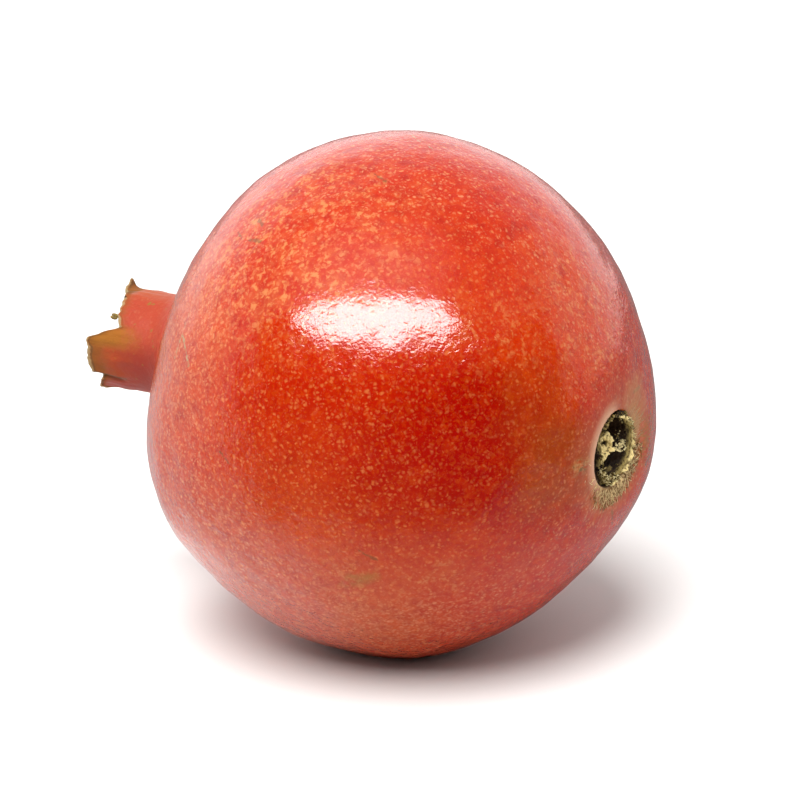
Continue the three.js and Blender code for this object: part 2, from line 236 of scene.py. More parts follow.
def draw_out(points, rows_out):
    """Draws the tube's rim out into the sepals, and gives each point's distance from the torn edge."""
    level = points[..., 1]
    turn = np.degrees(np.arctan2(points[..., 0], points[..., 2]))
    reach, curl, bend = sepal_at(turn)
    ring = around(turn, TUBE_RADIUS, 0.0)
    torn = 0.16 * ripples(ring, 3.2, 11) + 0.09 * ripples(ring, 1.1, 12)
    reach = reach + torn
    rise = np.clip((level - NECK_LEVEL) / (RIM_LEVEL - NECK_LEVEL), 0, 1)
    level = level + reach * rise
    beyond = np.maximum(0, level - RIM_LEVEL) / SEPAL_REACH
    radius = np.hypot(points[..., 0], points[..., 2])
    middle = TUBE_RADIUS + TUBE_FLARE - TUBE_WALL / 2
    thinned = 1 + (SEPAL_EDGE / TUBE_WALL - 1) * np.minimum(1, beyond)
    moved = middle + (radius - middle) * thinned + curl * beyond**bend
    # the drawn-out sides slope, so the nearest torn edge lies nearer than straight along the tube
    slope = np.gradient(reach[-1], axis=-1) / (2 * np.pi * TUBE_RADIUS / reach.shape[-1])
    from_edge = (RIM_LEVEL - NECK_LEVEL + reach) * (1 - rise) / np.sqrt(1 + np.minimum(slope, 3) ** 2)
    on_tube = points[..., 1] > NECK_LEVEL - 0.5
    outside = on_tube & (np.arange(points.shape[0])[:, None] < rows_out)
    # the dry edge rolls outwards by a hair, and the skin shrank into folds and fine ribs as it dried
    moved += np.where(on_tube, 0.28 * np.exp(-((from_edge / 0.55) ** 2)), 0)
    ribs = 0.05 * ripples(np.stack([ring[..., 0], level * 0.15, ring[..., 2]], -1), 1.5, 13)
    ribs += 0.10 * ripples(np.stack([ring[..., 0], level * 0.5, ring[..., 2]], -1), 4.5, 14)
    moved += np.where(on_tube, ribs * ramp(level, NECK_LEVEL, RIM_LEVEL), 0)
    for at, depth, width, low, high in FOLDS:
        apart = (turn - at + 180) % 360 - 180
        moved -= np.where(outside, depth * np.exp(-((apart / width) ** 2)) * ramp(level, low, high), 0)
    drawn = points.copy()
    scale = np.where(on_tube & (points[..., 1] > NECK_LEVEL), moved / np.maximum(radius, 1e-6), 1)
    drawn[..., 0] *= scale
    drawn[..., 2] *= scale
    drawn[..., 1] = level
    return drawn, np.where(points[..., 1] > NECK_LEVEL, from_edge, FAR_FROM_EDGE)


def settle(points):
    """Bends points along the drooping axis, turns the axis from +Y to the crown's side, lifts the
    middle of the fruit to its height above the ground, and gives metres."""
    tilt = math.radians(AXIS_TILT)
    side = np.array([0, 1, 0])
    crown = np.array([-math.cos(tilt), 0, math.sin(tilt)])
    top = np.array([math.sin(tilt), 0, math.cos(tilt)])
    height = points[..., 2:] - AXIS_BOW * (points[..., 1:2] / BODY_HALF_LENGTH) ** 2
    laid = points[..., :1] * side + points[..., 1:2] * crown + height * top
    laid[..., 2] = np.maximum(laid[..., 2] + REST_HEIGHT, 0)  # the ground presses the underside flat
    return laid / 1000


def mesh_object(name, points, faces):
    """A smooth mesh object in the scene, its faces turned outwards."""
    mesh = bpy.data.meshes.new(name)
    mesh.from_pydata(points.tolist(), [], faces)
    mesh.validate()
    mesh.shade_smooth()
    made = bpy.data.objects.new(name, mesh)
    bpy.context.scene.collection.objects.link(made)
    return made


def ring_faces(rows, columns):
    """Faces of a closed skin: a first pole, rows of points all round, and a last pole."""
    grid = 1 + np.arange(rows * columns).reshape(rows, columns)
    beside = np.roll(grid, -1, axis=1)
    quads = np.stack([grid[:-1], grid[1:], beside[1:], beside[:-1]], axis=-1).reshape(-1, 4)
    last = rows * columns + 1
    faces = [(0, int(a), int(b)) for a, b in zip(grid[0], beside[0])]
    faces += [(last, int(b), int(a)) for a, b in zip(grid[-1], beside[-1])]
    return faces + quads.tolist()


def note(mesh, name, values):
    """Keeps a number or a vector for each point of a mesh, for its material to read."""
    kind, field = ("FLOAT_VECTOR", "vector") if values.ndim == 2 else ("FLOAT", "value")
    mesh.attributes.new(name, kind, "POINT").data.foreach_set(field, values.astype(np.float32).ravel())


section, rows_out = rind_section()
lathe = around(all_round(FACETS)[None, :], section[:, :1], section[:, 1:])
grown, from_edge = draw_out(swell(lathe), rows_out)
inside = np.broadcast_to((np.arange(len(section)) >= rows_out)[:, None], from_edge.shape).astype(float)


def poles_and_rows(values):
    """The values of a turned skin's points: one for each pole, and all of the rows between."""
    rest = values.shape[2:]
    return np.concatenate([values[:1, 0], values[1:-1].reshape(-1, *rest), values[-1:, 0]])


skin_points = poles_and_rows(grown)
rind = mesh_object("rind", settle(skin_points), ring_faces(len(section) - 2, FACETS))
note(rind.data, "grown", skin_points)
note(rind.data, "from_edge", poles_and_rows(from_edge))
note(rind.data, "inside", poles_and_rows(inside))

# ---------------------------------------------------------------------------------------------
# The rind's skin. Waxy, leathery and opaque: red pigment over a yellow ground that shows through as
# cream breathing pores and as golden netting where the sun reached it least. It is polished by
# handling, corky round the scar and dried to tan along the sepals' torn edges.
RIND_RED = "#ab1d01"
DEEP_RED = "#900801"
WINE_RED = "#900400"
WARM_RED = "#b93c08"
EMBER_BROWN = "#8f3a0e"
UNDERSIDE_RED = "#a93e1a"
# a pale blush, also used low down as painted bounce light from the table
BLUSH_AND_BOUNCE_LIGHT = "#b0562e"
PORE_CREAM = "#c97d55"
PORE_GOLD = "#c46a14"
FLECK_GOLD = "#c67f47"
SPECK_BROWN = "#3a1a0a"
OLIVE = "#7c6224"
GOLDEN_OLIVE = "#8a5a10"
CORK_TAN = "#b18a55"
CORK_BROWN = "#5b3f1c"
LIP_PINK = "#c58a68"
LIP_CREAM = "#dbab8a"
PIT_BROWN = "#1d1206"
TUBE_RED = "#983921"
# painted shade for the tube's lower front
TUBE_SHADE = "#80190a"
DRY_OCHRE = "#8d570c"
DRY_TAN = "#97835c"
SEPAL_ORANGE = "#953705"
SEPAL_BROWN = "#7a4509"
WAX_ROUGHNESS = 0.13  # wax polished by handling: a close, bright highlight
DRY_ROUGHNESS = 0.85
WAX_IOR = 1.52
DRY_IOR = 1.33  # a porous dry surface mirrors hardly anything
GRAIN_DEPTH = 0.00017
BARE_LEVEL = 42.5  # the crown has no wax past here


def linear(code):
    """An sRGB hex colour as linear red, green, blue and alpha."""
    shares = [int(code[i : i + 2], 16) / 255 for i in (1, 3, 5)]
    return [s / 12.92 if s <= 0.04045 else ((s + 0.055) / 1.055) ** 2.4 for s in shares] + [1.0]


def add(tree, kind, inputs=None, **settings):
    """Adds a node with its settings. inputs gives each socket its value, or the outputs that feed it."""
    made = tree.nodes.new(kind)
    for name, value in settings.items():
        setattr(made, name, value)
    for key, value in (inputs or {}).items():
        fed = [each for each in (value if isinstance(value, list) else [value])
               if isinstance(each, bpy.types.NodeSocket)]
        for socket in fed:
            tree.links.new(socket, made.inputs[key])
        if not fed:
            made.inputs[key].default_value = value
    return made.outputs


def mask(tree, *terms):
    """Where a finish lies: the product of terms. A term is a mask, or a range (value, low, high)
    that rises smoothly from 0 to 1, or from start to end where (value, low, high, start, end) says
    so, or a list of terms, of which the strongest counts."""
    made = None
    for term in terms:
        if isinstance(term, tuple):
            labels = ("Value", "From Min", "From Max", "To Min", "To Max")
            term = add(tree, "ShaderNodeMapRange", dict(zip(labels, term)),
                       interpolation_type="SMOOTHSTEP")["Result"]
        elif isinstance(term, list):
            first, *others = [mask(tree, each) for each in term]
            for other in others:
                first = add(tree, "ShaderNodeMath", {0: first, 1: other}, operation="MAXIMUM")[0]
            term = first
        if made is not None:
            term = add(tree, "ShaderNodeMath", {0: made, 1: term}, operation="MULTIPLY")[0]
        made = term
    return made


def grown_noise(tree, at, size, detail=2.0, rough=0.5, seed=0.0):
    """An uneven growth pattern whose features are about size wide, in the units of its places."""
    moved = add(tree, "ShaderNodeVectorMath", {0: at, 1: (seed, 2.3 * seed, -seed)})[0]
    inputs = {"Vector": moved, "Scale": 1 / size, "Detail": detail, "Roughness": rough}
    return add(tree, "ShaderNodeTexNoise", inputs)


def painted(tree, ground, layers):
    """The colour of a ground with layers over it: each is a colour, its strength and its mask's terms."""
    colour = linear(ground)
    for code, strength, *terms in layers:
        factor = add(tree, "ShaderNodeMath", {0: mask(tree, *terms), 1: strength},
                     operation="MULTIPLY", use_clamp=True)[0]
        colour = add(tree, "ShaderNodeMix", {0: factor, 6: colour, 7: linear(code)}, data_type="RGBA")[2]
    return colour


def new_material(name):
    """An empty node material."""
    made = bpy.data.materials.new(name)
    made.use_nodes = True
    made.node_tree.nodes.clear()
    return made, made.node_tree


def surface(tree, inputs, kind="ShaderNodeBsdfPrincipled"):
    """Ends a material in a shader whose sockets are set to, or fed by, the inputs."""
    shader = add(tree, kind, inputs)[0]
    add(tree, "ShaderNodeOutputMaterial", {"Surface": shader})
    return shader


rind_skin, skin = new_material("waxed leathery rind")
place = add(skin, "ShaderNodeAttribute", attribute_name="grown")["Vector"]
edge = add(skin, "ShaderNodeAttribute", attribute_name="from_edge")["Fac"]
within = add(skin, "ShaderNodeAttribute", attribute_name="inside")["Fac"]
level = add(skin, "ShaderNodeSeparateXYZ", {0: place})["Y"]
flat_place = add(skin, "ShaderNodeVectorMath", {0: place, 1: (1, 0, 1)}, operation="MULTIPLY")[0]
from_axis = add(skin, "ShaderNodeVectorMath", {0: flat_place}, operation="LENGTH")["Value"]
outwards = add(skin, "ShaderNodeVectorMath", {0: flat_place}, operation="NORMALIZE")[0]


def pushed_about(size, detail, reach):
    """The skin's places, each pushed about unevenly, so that a pattern follows no true circle."""
    push = grown_noise(skin, place, size, detail)["Color"]
    push = add(skin, "ShaderNodeVectorMath", {0: push, 1: (0.5, 0.5, 0.5)}, operation="SUBTRACT")[0]
    push = add(skin, "ShaderNodeVectorMath", {0: push, "Scale": reach}, operation="SCALE")[0]
    return add(skin, "ShaderNodeVectorMath", {0: place, 1: push})[0]


stirred = pushed_about(6.0, 3.0, 9.0)
shivered = pushed_about(0.9, 1.0, 0.9)


def near(spot, core, spread, pushed):
    """A mask of 1 within core mm of a spot, and 0 past spread mm, on places that are pushed about."""
    away = add(skin, "ShaderNodeVectorMath", {0: pushed, 1: tuple(spot)}, operation="DISTANCE")["Value"]
    return mask(skin, (away, core, spread, 1.0, 0.0))


def patch(turn, along, core, spread):
    """A soft patch round a spot on the body: a turn and an angle from the stem pole, in degrees."""
    return near(on_body(turn, along), core, spread, stirred)


def towards(turn):
    """How far the skin faces a turn round the axis: 1 there, and -1 on the other side."""
    way = tuple(around(turn, 1, 0))
    return add(skin, "ShaderNodeVectorMath", {0: outwards, 1: way}, operation="DOT_PRODUCT")["Value"]


def facing(turn, core, spread):
    """A mask of 1 within core degrees of a turn round the axis, and 0 past spread degrees."""
    return mask(skin, (towards(turn), math.cos(math.radians(spread)), math.cos(math.radians(core))))


def pores(size, spacing, share, seed):
    """Soft dots up to size mm across, some fainter than others: one in each Voronoi cell, for a
    share of the cells."""
    moved = add(skin, "ShaderNodeVectorMath", {0: shivered, 1: (seed, seed, seed)})[0]
    cells = add(skin, "ShaderNodeTexVoronoi", {"Vector": moved, "Scale": 1 / spacing})
    drawn = add(skin, "ShaderNodeSeparateColor", {0: cells["Color"]})
    outer = mask(skin, (drawn["Red"], 0.0, 1.0, 0.42 * size / spacing, 0.75 * size / spacing))
    inner = add(skin, "ShaderNodeMath", {0: outer, 1: 0.1}, operation="MULTIPLY")[0]
    kept = add(skin, "ShaderNodeMath", {0: drawn["Green"], 1: share}, operation="LESS_THAN")[0]
    return mask(skin, (cells["Distance"], inner, outer, 1.0, 0.0), kept, (drawn["Blue"], 0.0, 0.8, 0.35))


def scratch(start, end, width, broken=0.45):
    """A healed scratch between two spots of the body, each a turn and an angle along, broken up."""
    first, last = (Vector(swell(on_body(*spot)[None])[0]) for spot in (start, end))
    way = last - first
    along = tuple(way / way.length_squared)
    from_first = add(skin, "ShaderNodeVectorMath", {0: shivered, 1: tuple(first)}, operation="SUBTRACT")[0]
    share = add(skin, "ShaderNodeVectorMath", {0: from_first, 1: along}, operation="DOT_PRODUCT")["Value"]
    share = add(skin, "ShaderNodeMath", {0: share, 1: 0.0}, operation="ADD", use_clamp=True)[0]
    nearest = add(skin, "ShaderNodeVectorMath", {0: tuple(way), "Scale": share}, operation="SCALE")[0]
    away = add(skin, "ShaderNodeVectorMath", {0: from_first, 1: nearest}, operation="DISTANCE")["Value"]
    return mask(skin, (away, 0.3 * width, width, 1.0, 0.0), (flecks, broken - 0.08, broken + 0.08))


# patterns of growth, from broad to fine, each about as many mm wide as its first number says
blotches = grown_noise(skin, place, 17.0, 3.0, 0.55, 4.0)["Fac"]
clouds = grown_noise(skin, place, 6.5, 3.0, 0.6, 9.0)["Fac"]
haze = grown_noise(skin, place, 3.4, 3.0, 0.6, 21.0)["Fac"]
mottling = grown_noise(skin, shivered, 2.3, 3.0, 0.6, 27.0)["Fac"]
flecks = grown_noise(skin, shivered, 1.25, 2.5, 0.62, 15.0)["Fac"]
grit = grown_noise(skin, shivered, 0.8, 2.0, 0.6, 93.0)["Fac"]
# the skin is deepest red and smoothest on the sunny front, and roughest and palest below
front = patch(285, 60, 24, 42)
wine_patch = patch(284, 43, 5, 17)
away_from_front = mask(skin, (front, 0.0, 1.0, 1.0, 0.5))
smoothest = near(on_body(315, 66), 20, 38, place)
roughest = near(on_body(235, 88), 22, 55, place)
gritty_ground = mask(skin, [roughest, patch(292, 122, 12, 34)], (front, 0.0, 1.0, 1.0, 0.0))
# breathing pores, closest together towards the crown, and golden on the front and in the haze
fine_pores = pores(0.62, 0.8, 0.95, 0.0)
tiny_pores = pores(0.42, 0.55, 0.9, 31.0)
broad_pores = pores(0.9, 2.0, 0.6, 77.0)
specks = pores(0.5, 6.5, 0.3, 57.0)
crown_half = mask(skin, (level, -34.0, 6.0))
pore_zone = mask(skin, (crown_half, 0.0, 1.0, 0.75), (front, 0.0, 1.0, 1.0, 0.45),
                 (wine_patch, 0.0, 1.0, 1.0, 0.6))
golden = mask(skin, [(haze, 0.5, 0.65, 0.0, 0.6), front])
# golden flecks crowd together where the sun reached the skin least
fleck_zone = mask(skin, [
    patch(320, 95, 9, 27), patch(75, 70, 6, 24), patch(140, 110, 4, 26),
    mask(skin, patch(242, 72, 2, 10), clouds), mask(skin, patch(239, 55, 2, 9), clouds),
    mask(skin, patch(318, 45, 2, 12), haze), mask(skin, patch(352, 33, 4, 17), haze),
])
gold_flecks = mask(skin, fleck_zone, (flecks, 0.5, 0.66), (haze, 0.36, 0.56, 0.25))
# healed scratches and bruises: pairs of spots, each a turn and an angle along, and a width in mm
SCRATCHES = (
    ((294.3, 120.1), (287.6, 121.6), 0.34),
    ((294.3, 120.1), (287.0, 114.1), 0.34),
    ((309.7, 119.2), (294.3, 120.1), 0.16),
    ((5.8, 93.3), (2.0, 89.0), 0.2),
    ((2.0, 89.0), (359.8, 84.3), 0.2),
)
BRUISES = (
    ((341.5, 85.0), (343.0, 88.5), 0.3),
    ((322.5, 106.0), (324.5, 108.5), 0.4),
    ((319.0, 110.5), (321.5, 113.5), 0.35),
    ((318.0, 104.0), (318.5, 107.5), 0.45),
    ((279.3, 141.2), (278.0, 143.0), 0.5),
    ((174.0, 15.2), (168.0, 20.0), 0.5),
    ((117.8, 17.6), (111.0, 20.2), 0.6),
    ((39.0, 14.2), (47.0, 16.4), 0.5),
    ((252.0, 68.0), (249.0, 64.5), 0.35),
    ((268.0, 98.0), (270.0, 101.0), 0.3),
)
scratched = mask(skin, [scratch(*each) for each in SCRATCHES])
bruised = mask(skin, [scratch(*each, 0.4) for each in BRUISES])

# round the scar: streaks of cork that run outwards, furthest under it and behind it, a pale lip in
# front that is partly a painted highlight along its rolled edge, and the pit, darkened with painted shade
on_stem_side = mask(skin, (level, -20.0, -10.0, 1.0, 0.0))
streaked = add(skin, "ShaderNodeVectorMath", {0: outwards, "Scale": 9.0}, operation="SCALE")[0]
drawn_out = add(skin, "ShaderNodeVectorMath", {0: place, "Scale": 0.22}, operation="SCALE")[0]
streaked = add(skin, "ShaderNodeVectorMath", {0: streaked, 1: drawn_out})[0]
streaks = grown_noise(skin, streaked, 0.55, 3.0, 0.65, 3.0)["Fac"]
scar_reach = add(skin, "ShaderNodeMath", {0: streaks, 1: 7.0}, operation="MULTIPLY")[0]
scar_reach = add(skin, "ShaderNodeMath", {0: from_axis, 1: scar_reach}, operation="SUBTRACT")[0]
low_side = mask(skin, (towards(140), -0.5, 0.6))
cork = mask(skin, on_stem_side, (scar_reach, 3.2, 7.2, 1.0, 0.0), low_side)
halo = mask(skin, on_stem_side, (scar_reach, 4.0, 11.0, 1.0, 0.0), (low_side, 0.0, 1.0, 0.2, 0.6))
pit = mask(skin, on_stem_side, (from_axis, 6.35, 6.75, 1.0, 0.0))
# the lip's pale tissue, with a painted highlight along its rolled edge
pale_lip_and_highlight = mask(skin, on_stem_side, facing(288, 50, 85), (from_axis, 7.7, 9.6, 1.0, 0.0))
brown_spot = mask(skin, near(on_body(266, 14.6), 0.8, 2.6, stirred), (streaks, 0.4, 0.6))

# on the crown: each sepal dried back from its torn edge, and the one that faces the front dried the
# most, golden along its upper side and orange-brown below
on_tube = mask(skin, (level, 39.5, 45.0))
dryness = grown_noise(skin, place, 2.4, 3.0, 0.6, 41.0)["Fac"]
rot = grown_noise(skin, place, 1.6, 1.0, 0.5, 33.0)["Fac"]
edge_dry = mask(skin, (dryness, 0.3, 0.7, 0.0, 0.5))
edge_dry = add(skin, "ShaderNodeMath", {0: edge, 1: edge_dry}, operation="SUBTRACT")[0]
past = mask(skin, (dryness, 0.3, 0.7, -1.0))
past = add(skin, "ShaderNodeMath", {0: level, 1: past}, operation="ADD")[0]
front_sepal = mask(skin, on_tube, facing(266, 26, 42), (past, 47.5, 54.0))
golden_side = mask(skin, on_tube, facing(288, 3, 17), (past, 46.5, 53.0))
brown_end = mask(skin, on_tube, facing(262, 26, 38), (past, 52.5, 57.5))
upper_side = mask(skin, on_tube, facing(15, 8, 42), (past, 44.0, 52.0, 0.3))
# the crease of the fold down the tube, darkened as painted shade
fold_painted_shade = mask(skin, on_tube, facing(235, 1.5, 4.5), (past, 50.0, 53.0))
# the curled sepal's end: dry brown, with painted shade on its outer face
curled_tip_dry_and_shade = mask(skin, on_tube, near(around(8, 10.2, 57.4), 3.0, 4.6, shivered))
ochre = mask(skin, on_tube, (edge_dry, 0.0, 2.4, 1.0, 0.0))
within_tube = mask(skin, within, on_tube)
# the very lip: a hair of tan, wider on two stretches, with a dark seam behind it
wide_lip = mask(skin, [mask(skin, facing(256, 12, 22), (level, 57.0, 58.0, 0.0, 0.4)),
                       mask(skin, facing(322, 22, 36), (level, 54.0, 55.0, 0.3, 0.0))])
from_lip = add(skin, "ShaderNodeMath", {0: edge_dry, 1: wide_lip}, operation="SUBTRACT")[0]
tan_lip = mask(skin, on_tube, (from_lip, -0.15, 0.2, 1.0, 0.0))
dark_seam = mask(skin, on_tube, (from_lip, 0.05, 0.25), (from_lip, 0.35, 0.7, 1.0, 0.0),
                 (facing(328, 30, 44), 0.0, 1.0, 1.0, 0.1))

colour = painted(skin, RIND_RED, (
    # broad clouds, the blush of the underside, the deep red of the front, and painted bounce light low down
    (DEEP_RED, 0.55, (blotches, 0.54, 0.74)),
    (WARM_RED, 0.5, (blotches, 0.28, 0.46, 1.0, 0.0)),
    (UNDERSIDE_RED, 0.75, patch(235, 85, 14, 46)),
    (BLUSH_AND_BOUNCE_LIGHT, 0.5, patch(292, 126, 5, 26)),
    (WARM_RED, 0.2, patch(335, 80, 8, 34)),
    (WARM_RED, 0.4, (clouds, 0.5, 0.75)),
    (DEEP_RED, 0.65, patch(278, 55, 6, 22)),
    (WINE_RED, 0.9, wine_patch),
    (DEEP_RED, 0.35, patch(271, 58, 4, 14)),
    (DEEP_RED, 0.3, patch(284, 86, 4, 20)),
    (DEEP_RED, 0.5, patch(268, 34, 3, 12)),
    # painted bounce light: a paler patch low on the body, where the table lights it
    (BLUSH_AND_BOUNCE_LIGHT, 0.5, patch(226, 71, 3, 13)),
    (DEEP_RED, 0.35, patch(247, 26, 4, 15)),
    (EMBER_BROWN, 0.8, patch(272, 21, 4, 13)),
    (EMBER_BROWN, 0.35, patch(303, 31, 3, 11)),
    (WARM_RED, 0.5, patch(352, 36, 5, 20)),
    # mottling, and the finer grit of the ground between the pores
    (DEEP_RED, 0.5, (mottling, 0.5, 0.68), away_from_front),
    (WARM_RED, 0.45, (mottling, 0.36, 0.48, 1.0, 0.0), away_from_front),
    (PORE_GOLD, 0.11, front, (grit, 0.48, 0.66)),
    (WINE_RED, 0.15, front, (grit, 0.34, 0.46, 1.0, 0.0)),
    (PORE_CREAM, 0.34, gritty_ground, (grit, 0.5, 0.66)),
    (DEEP_RED, 0.2, gritty_ground, (grit, 0.34, 0.46, 1.0, 0.0)),
    # golden flecks, pores, bruises and scratches
    (FLECK_GOLD, 0.15, fleck_zone, (haze, 0.42, 0.66)),
    (FLECK_GOLD, 0.72, gold_flecks),
    (PORE_CREAM, 0.85, fine_pores, pore_zone),
    (PORE_GOLD, 0.8, fine_pores, pore_zone, golden),
    (PORE_CREAM, 0.4, tiny_pores, pore_zone),
    (PORE_CREAM, 0.4, broad_pores, pore_zone),
    (OLIVE, 0.5, patch(244, 69.5, 0.8, 3.5), (clouds, 0.4, 0.55)),
    (DRY_TAN, 0.85, scratched),
    (CORK_BROWN, 0.6, bruised),
    # round the scar
    (CORK_TAN, 0.75, halo),
    (CORK_TAN, 0.9, cork),
    (CORK_BROWN, 0.8, cork, (streaks, 0.52, 0.66)),
    # the lip: pale tissue and a painted highlight, creamiest at its rolled edge
    (LIP_PINK, 0.95, pale_lip_and_highlight),
    (LIP_CREAM, 0.5, pale_lip_and_highlight, (from_axis, 7.3, 8.0, 1.0, 0.0)),
    (CORK_TAN, 0.55, brown_spot),
    (CORK_BROWN, 0.8, brown_spot, (flecks, 0.5, 0.6)),
    (CORK_TAN, 0.45, patch(42, 12.5, 1.5, 7.0), (streaks, 0.3, 0.6, 0.4)),
    (GOLDEN_OLIVE, 0.7, patch(98, 15.5, 2.0, 7.5), (streaks, 0.4, 0.56)),
    (SPECK_BROWN, 0.7, specks),
    # the pit: near black, the dry brown tissue deepened by painted shade in the recess
    (PIT_BROWN, 1.0, pit),
    # the crown
    (TUBE_RED, 0.85, on_tube),
    # painted shade: the tube is darker on its lower front, away from the light
    (TUBE_SHADE, 0.6, on_tube, facing(243, 14, 50)),
    (CORK_TAN, 0.16, upper_side),
    (OLIVE, 0.7, on_tube, (rot, 0.68, 0.74)),
    (SEPAL_ORANGE, 0.85, front_sepal),
    (SEPAL_BROWN, 0.8, brown_end),
    (DRY_OCHRE, 0.85, golden_side),
    # painted shade in the fold's crease
    (CORK_BROWN, 0.9, fold_painted_shade),
    (SEPAL_BROWN, 0.6, ochre),
    # the curled sepal's end: its dry brown, deepened as painted shade
    (SEPAL_BROWN, 0.9, curled_tip_dry_and_shade),
    # painted shade over some dry brown, where the curled sepal faces up into the light
    (CORK_BROWN, 0.6, on_tube, near(around(352, 9.6, 55.8), 0.8, 2.4, shivered)),
    (DRY_OCHRE, 0.9, within_tube),
    (CORK_BROWN, 0.75, dark_seam),
    (DRY_TAN, 0.8, tan_lip),
    (PIT_BROWN, 0.95, near(around(340, 9.3, 55.0), 0.15, 0.45, shivered)),
))

# wax makes the skin shine; cork and the dried crown have none
dry = mask(skin, [cork, pit, ochre, brown_end, golden_side, curled_tip_dry_and_shade, within_tube,
                  (front_sepal, 0.0, 1.0, 0.0, 0.7)])
rough = mask(skin, [(dry, 0.0, 1.0, WAX_ROUGHNESS, DRY_ROUGHNESS), (on_tube, 0.0, 1.0, 0.0, 0.5)])

# leather grain: pebbles of about a millimetre with finer wrinkles between, pores that stand out,
# and rough cork
pebbles = grown_noise(skin, shivered, 1.5, 2.0, 0.55, 71.0)["Fac"]
wrinkles = grown_noise(skin, shivered, 0.55, 2.0, 0.5, 83.0)["Fac"]
corky = mask(skin, cork, streaks)
height = add(skin, "ShaderNodeMath", {0: wrinkles, 1: 0.55, 2: pebbles}, operation="MULTIPLY_ADD")[0]
height = add(skin, "ShaderNodeMath", {0: fine_pores, 1: 0.1, 2: height}, operation="MULTIPLY_ADD")[0]
height = add(skin, "ShaderNodeMath", {0: corky, 1: 3.0, 2: height}, operation="MULTIPLY_ADD")[0]
relief = mask(skin, (smoothest, 0.0, 1.0, mask(skin, (roughest, 0.0, 1.0, 0.65)), 0.4))
grain = add(skin, "ShaderNodeBump", {"Strength": relief, "Distance": GRAIN_DEPTH, "Height": height})[0]
rind_shader = surface(skin, {
    "Base Color": colour, "Roughness": rough, "IOR": WAX_IOR, "Normal": grain})

# the dried crown and the torn scar have no wax: the same skin with hardly any shine, and shrunken
# wherever it is dry
shrunken = mask(skin, dry, streaks, (on_tube, 0.0, 1.0, 1.0, 0.25))
bare_skin = rind_skin.copy()
bare_skin.name = "dry unwaxed rind"
bare = bare_skin.node_tree
bare.nodes[rind_shader.node.name].inputs["IOR"].default_value = DRY_IOR
bare.links.new(bare.nodes[shrunken.node.name].outputs[0], bare.nodes[height.node.name].inputs[0])

rind.data.materials.append(rind_skin)
rind.data.materials.append(bare_skin)
skin_reach = np.hypot(skin_points[:, 0], skin_points[:, 2])
in_pit = (skin_points[:, 1] < -20) & (skin_reach < PIT_RADIUS + 0.2)
unwaxed = (skin_points[:, 1] > BARE_LEVEL) | in_pit
for face in rind.data.polygons:
    face.material_index = int(all(unwaxed[face.vertices]))
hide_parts("fruit")
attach(rind, "root")

# ---------------------------------------------------------------------------------------------
# The dried stamens. About a hundred thread-like filaments, each with a two-lobed anther, and the
# withered style among them fill the crown's cup. They stand on a felted mat of older broken ones,
# and one long stamen leans out past the rim. All are dry, matt and brittle.
MAT_TOP = CUP_FLOOR_LEVEL + 1.6
MAT_RADIUS = 5.1
MAT_COLUMNS = 90
STAMEN_COUNT = 118
GOLDEN_ANGLE = 137.5  # each stamen stands this far round from the one before, as they grew
STAMEN_TOP = 52.2
STAMEN_GIRTH = 0.14
STYLE_GIRTH = 0.55
TIP_SPREAD = 5.4
ANTHER_SIZE = 0.46
TALL_ANTHER = 0.6
STIGMA_SIZE = 0.75
TALL_STAMEN = {"around": 320, "radius": 6.5, "top": 56.4}
FILAMENT_TAN = "#a07a3e"
ANTHER_OLIVE = "#7d6526"
DRY_DARK = "#3d2a10"
FULL_TURN = 6.28  # radians


def lay(mesh):
    """Lays a mesh of the fruit's own millimetres down where it rests."""
    points = np.empty(3 * len(mesh.vertices))
    mesh.vertices.foreach_get("co", points)
    mesh.vertices.foreach_set("co", settle(points.reshape(-1, 3)).ravel())
    mesh.update()
    mesh.shade_smooth()


def evaluated(piece):
    """The mesh of a piece as its one modifier leaves it. The modifier goes."""
    made = bpy.data.meshes.new_from_object(piece.evaluated_get(bpy.context.evaluated_depsgraph_get()))
    piece.modifiers.clear()
    piece.data = made
    return made


def grow(name, roots, inputs, build):
    """Grows a mesh in the fruit's own millimetres from root points, and settles it. roots gives the
    points' attributes, inputs the tree's named inputs, and build fills the node tree between the
    roots and the finished geometry."""
    host = mesh_object(name, roots["root"], [])
    for key, values in roots.items():
        note(host.data, key, values)
    tree = bpy.data.node_groups.new(name, "GeometryNodeTree")
    tree.interface.new_socket("Roots", in_out="INPUT", socket_type="NodeSocketGeometry")
    kinds = {int: "NodeSocketInt", float: "NodeSocketFloat", bpy.types.Material: "NodeSocketMaterial"}
    for label, value in inputs.items():
        tree.interface.new_socket(label, in_out="INPUT", socket_type=kinds[type(value)])
    tree.interface.new_socket("Grown", in_out="OUTPUT", socket_type="NodeSocketGeometry")
    given = tree.nodes.new("NodeGroupInput").outputs
    grown = add(tree, "GeometryNodeRealizeInstances", {"Geometry": build(tree, given)})[0]
    grown = add(tree, "GeometryNodeSetMaterial", {"Geometry": grown, "Material": given["Material"]})[0]
    add(tree, "NodeGroupOutput", {0: grown})
    modifier = host.modifiers.new(name, "NODES")
    modifier.node_group = tree
    for socket in tree.interface.items_tree:
        if socket.name in inputs:
            modifier[socket.identifier] = inputs[socket.name]
    made = evaluated(host)
    for key in roots:
        if key != "tint" and key in made.attributes:
            made.attributes.remove(made.attributes[key])
    lay(made)
    return host


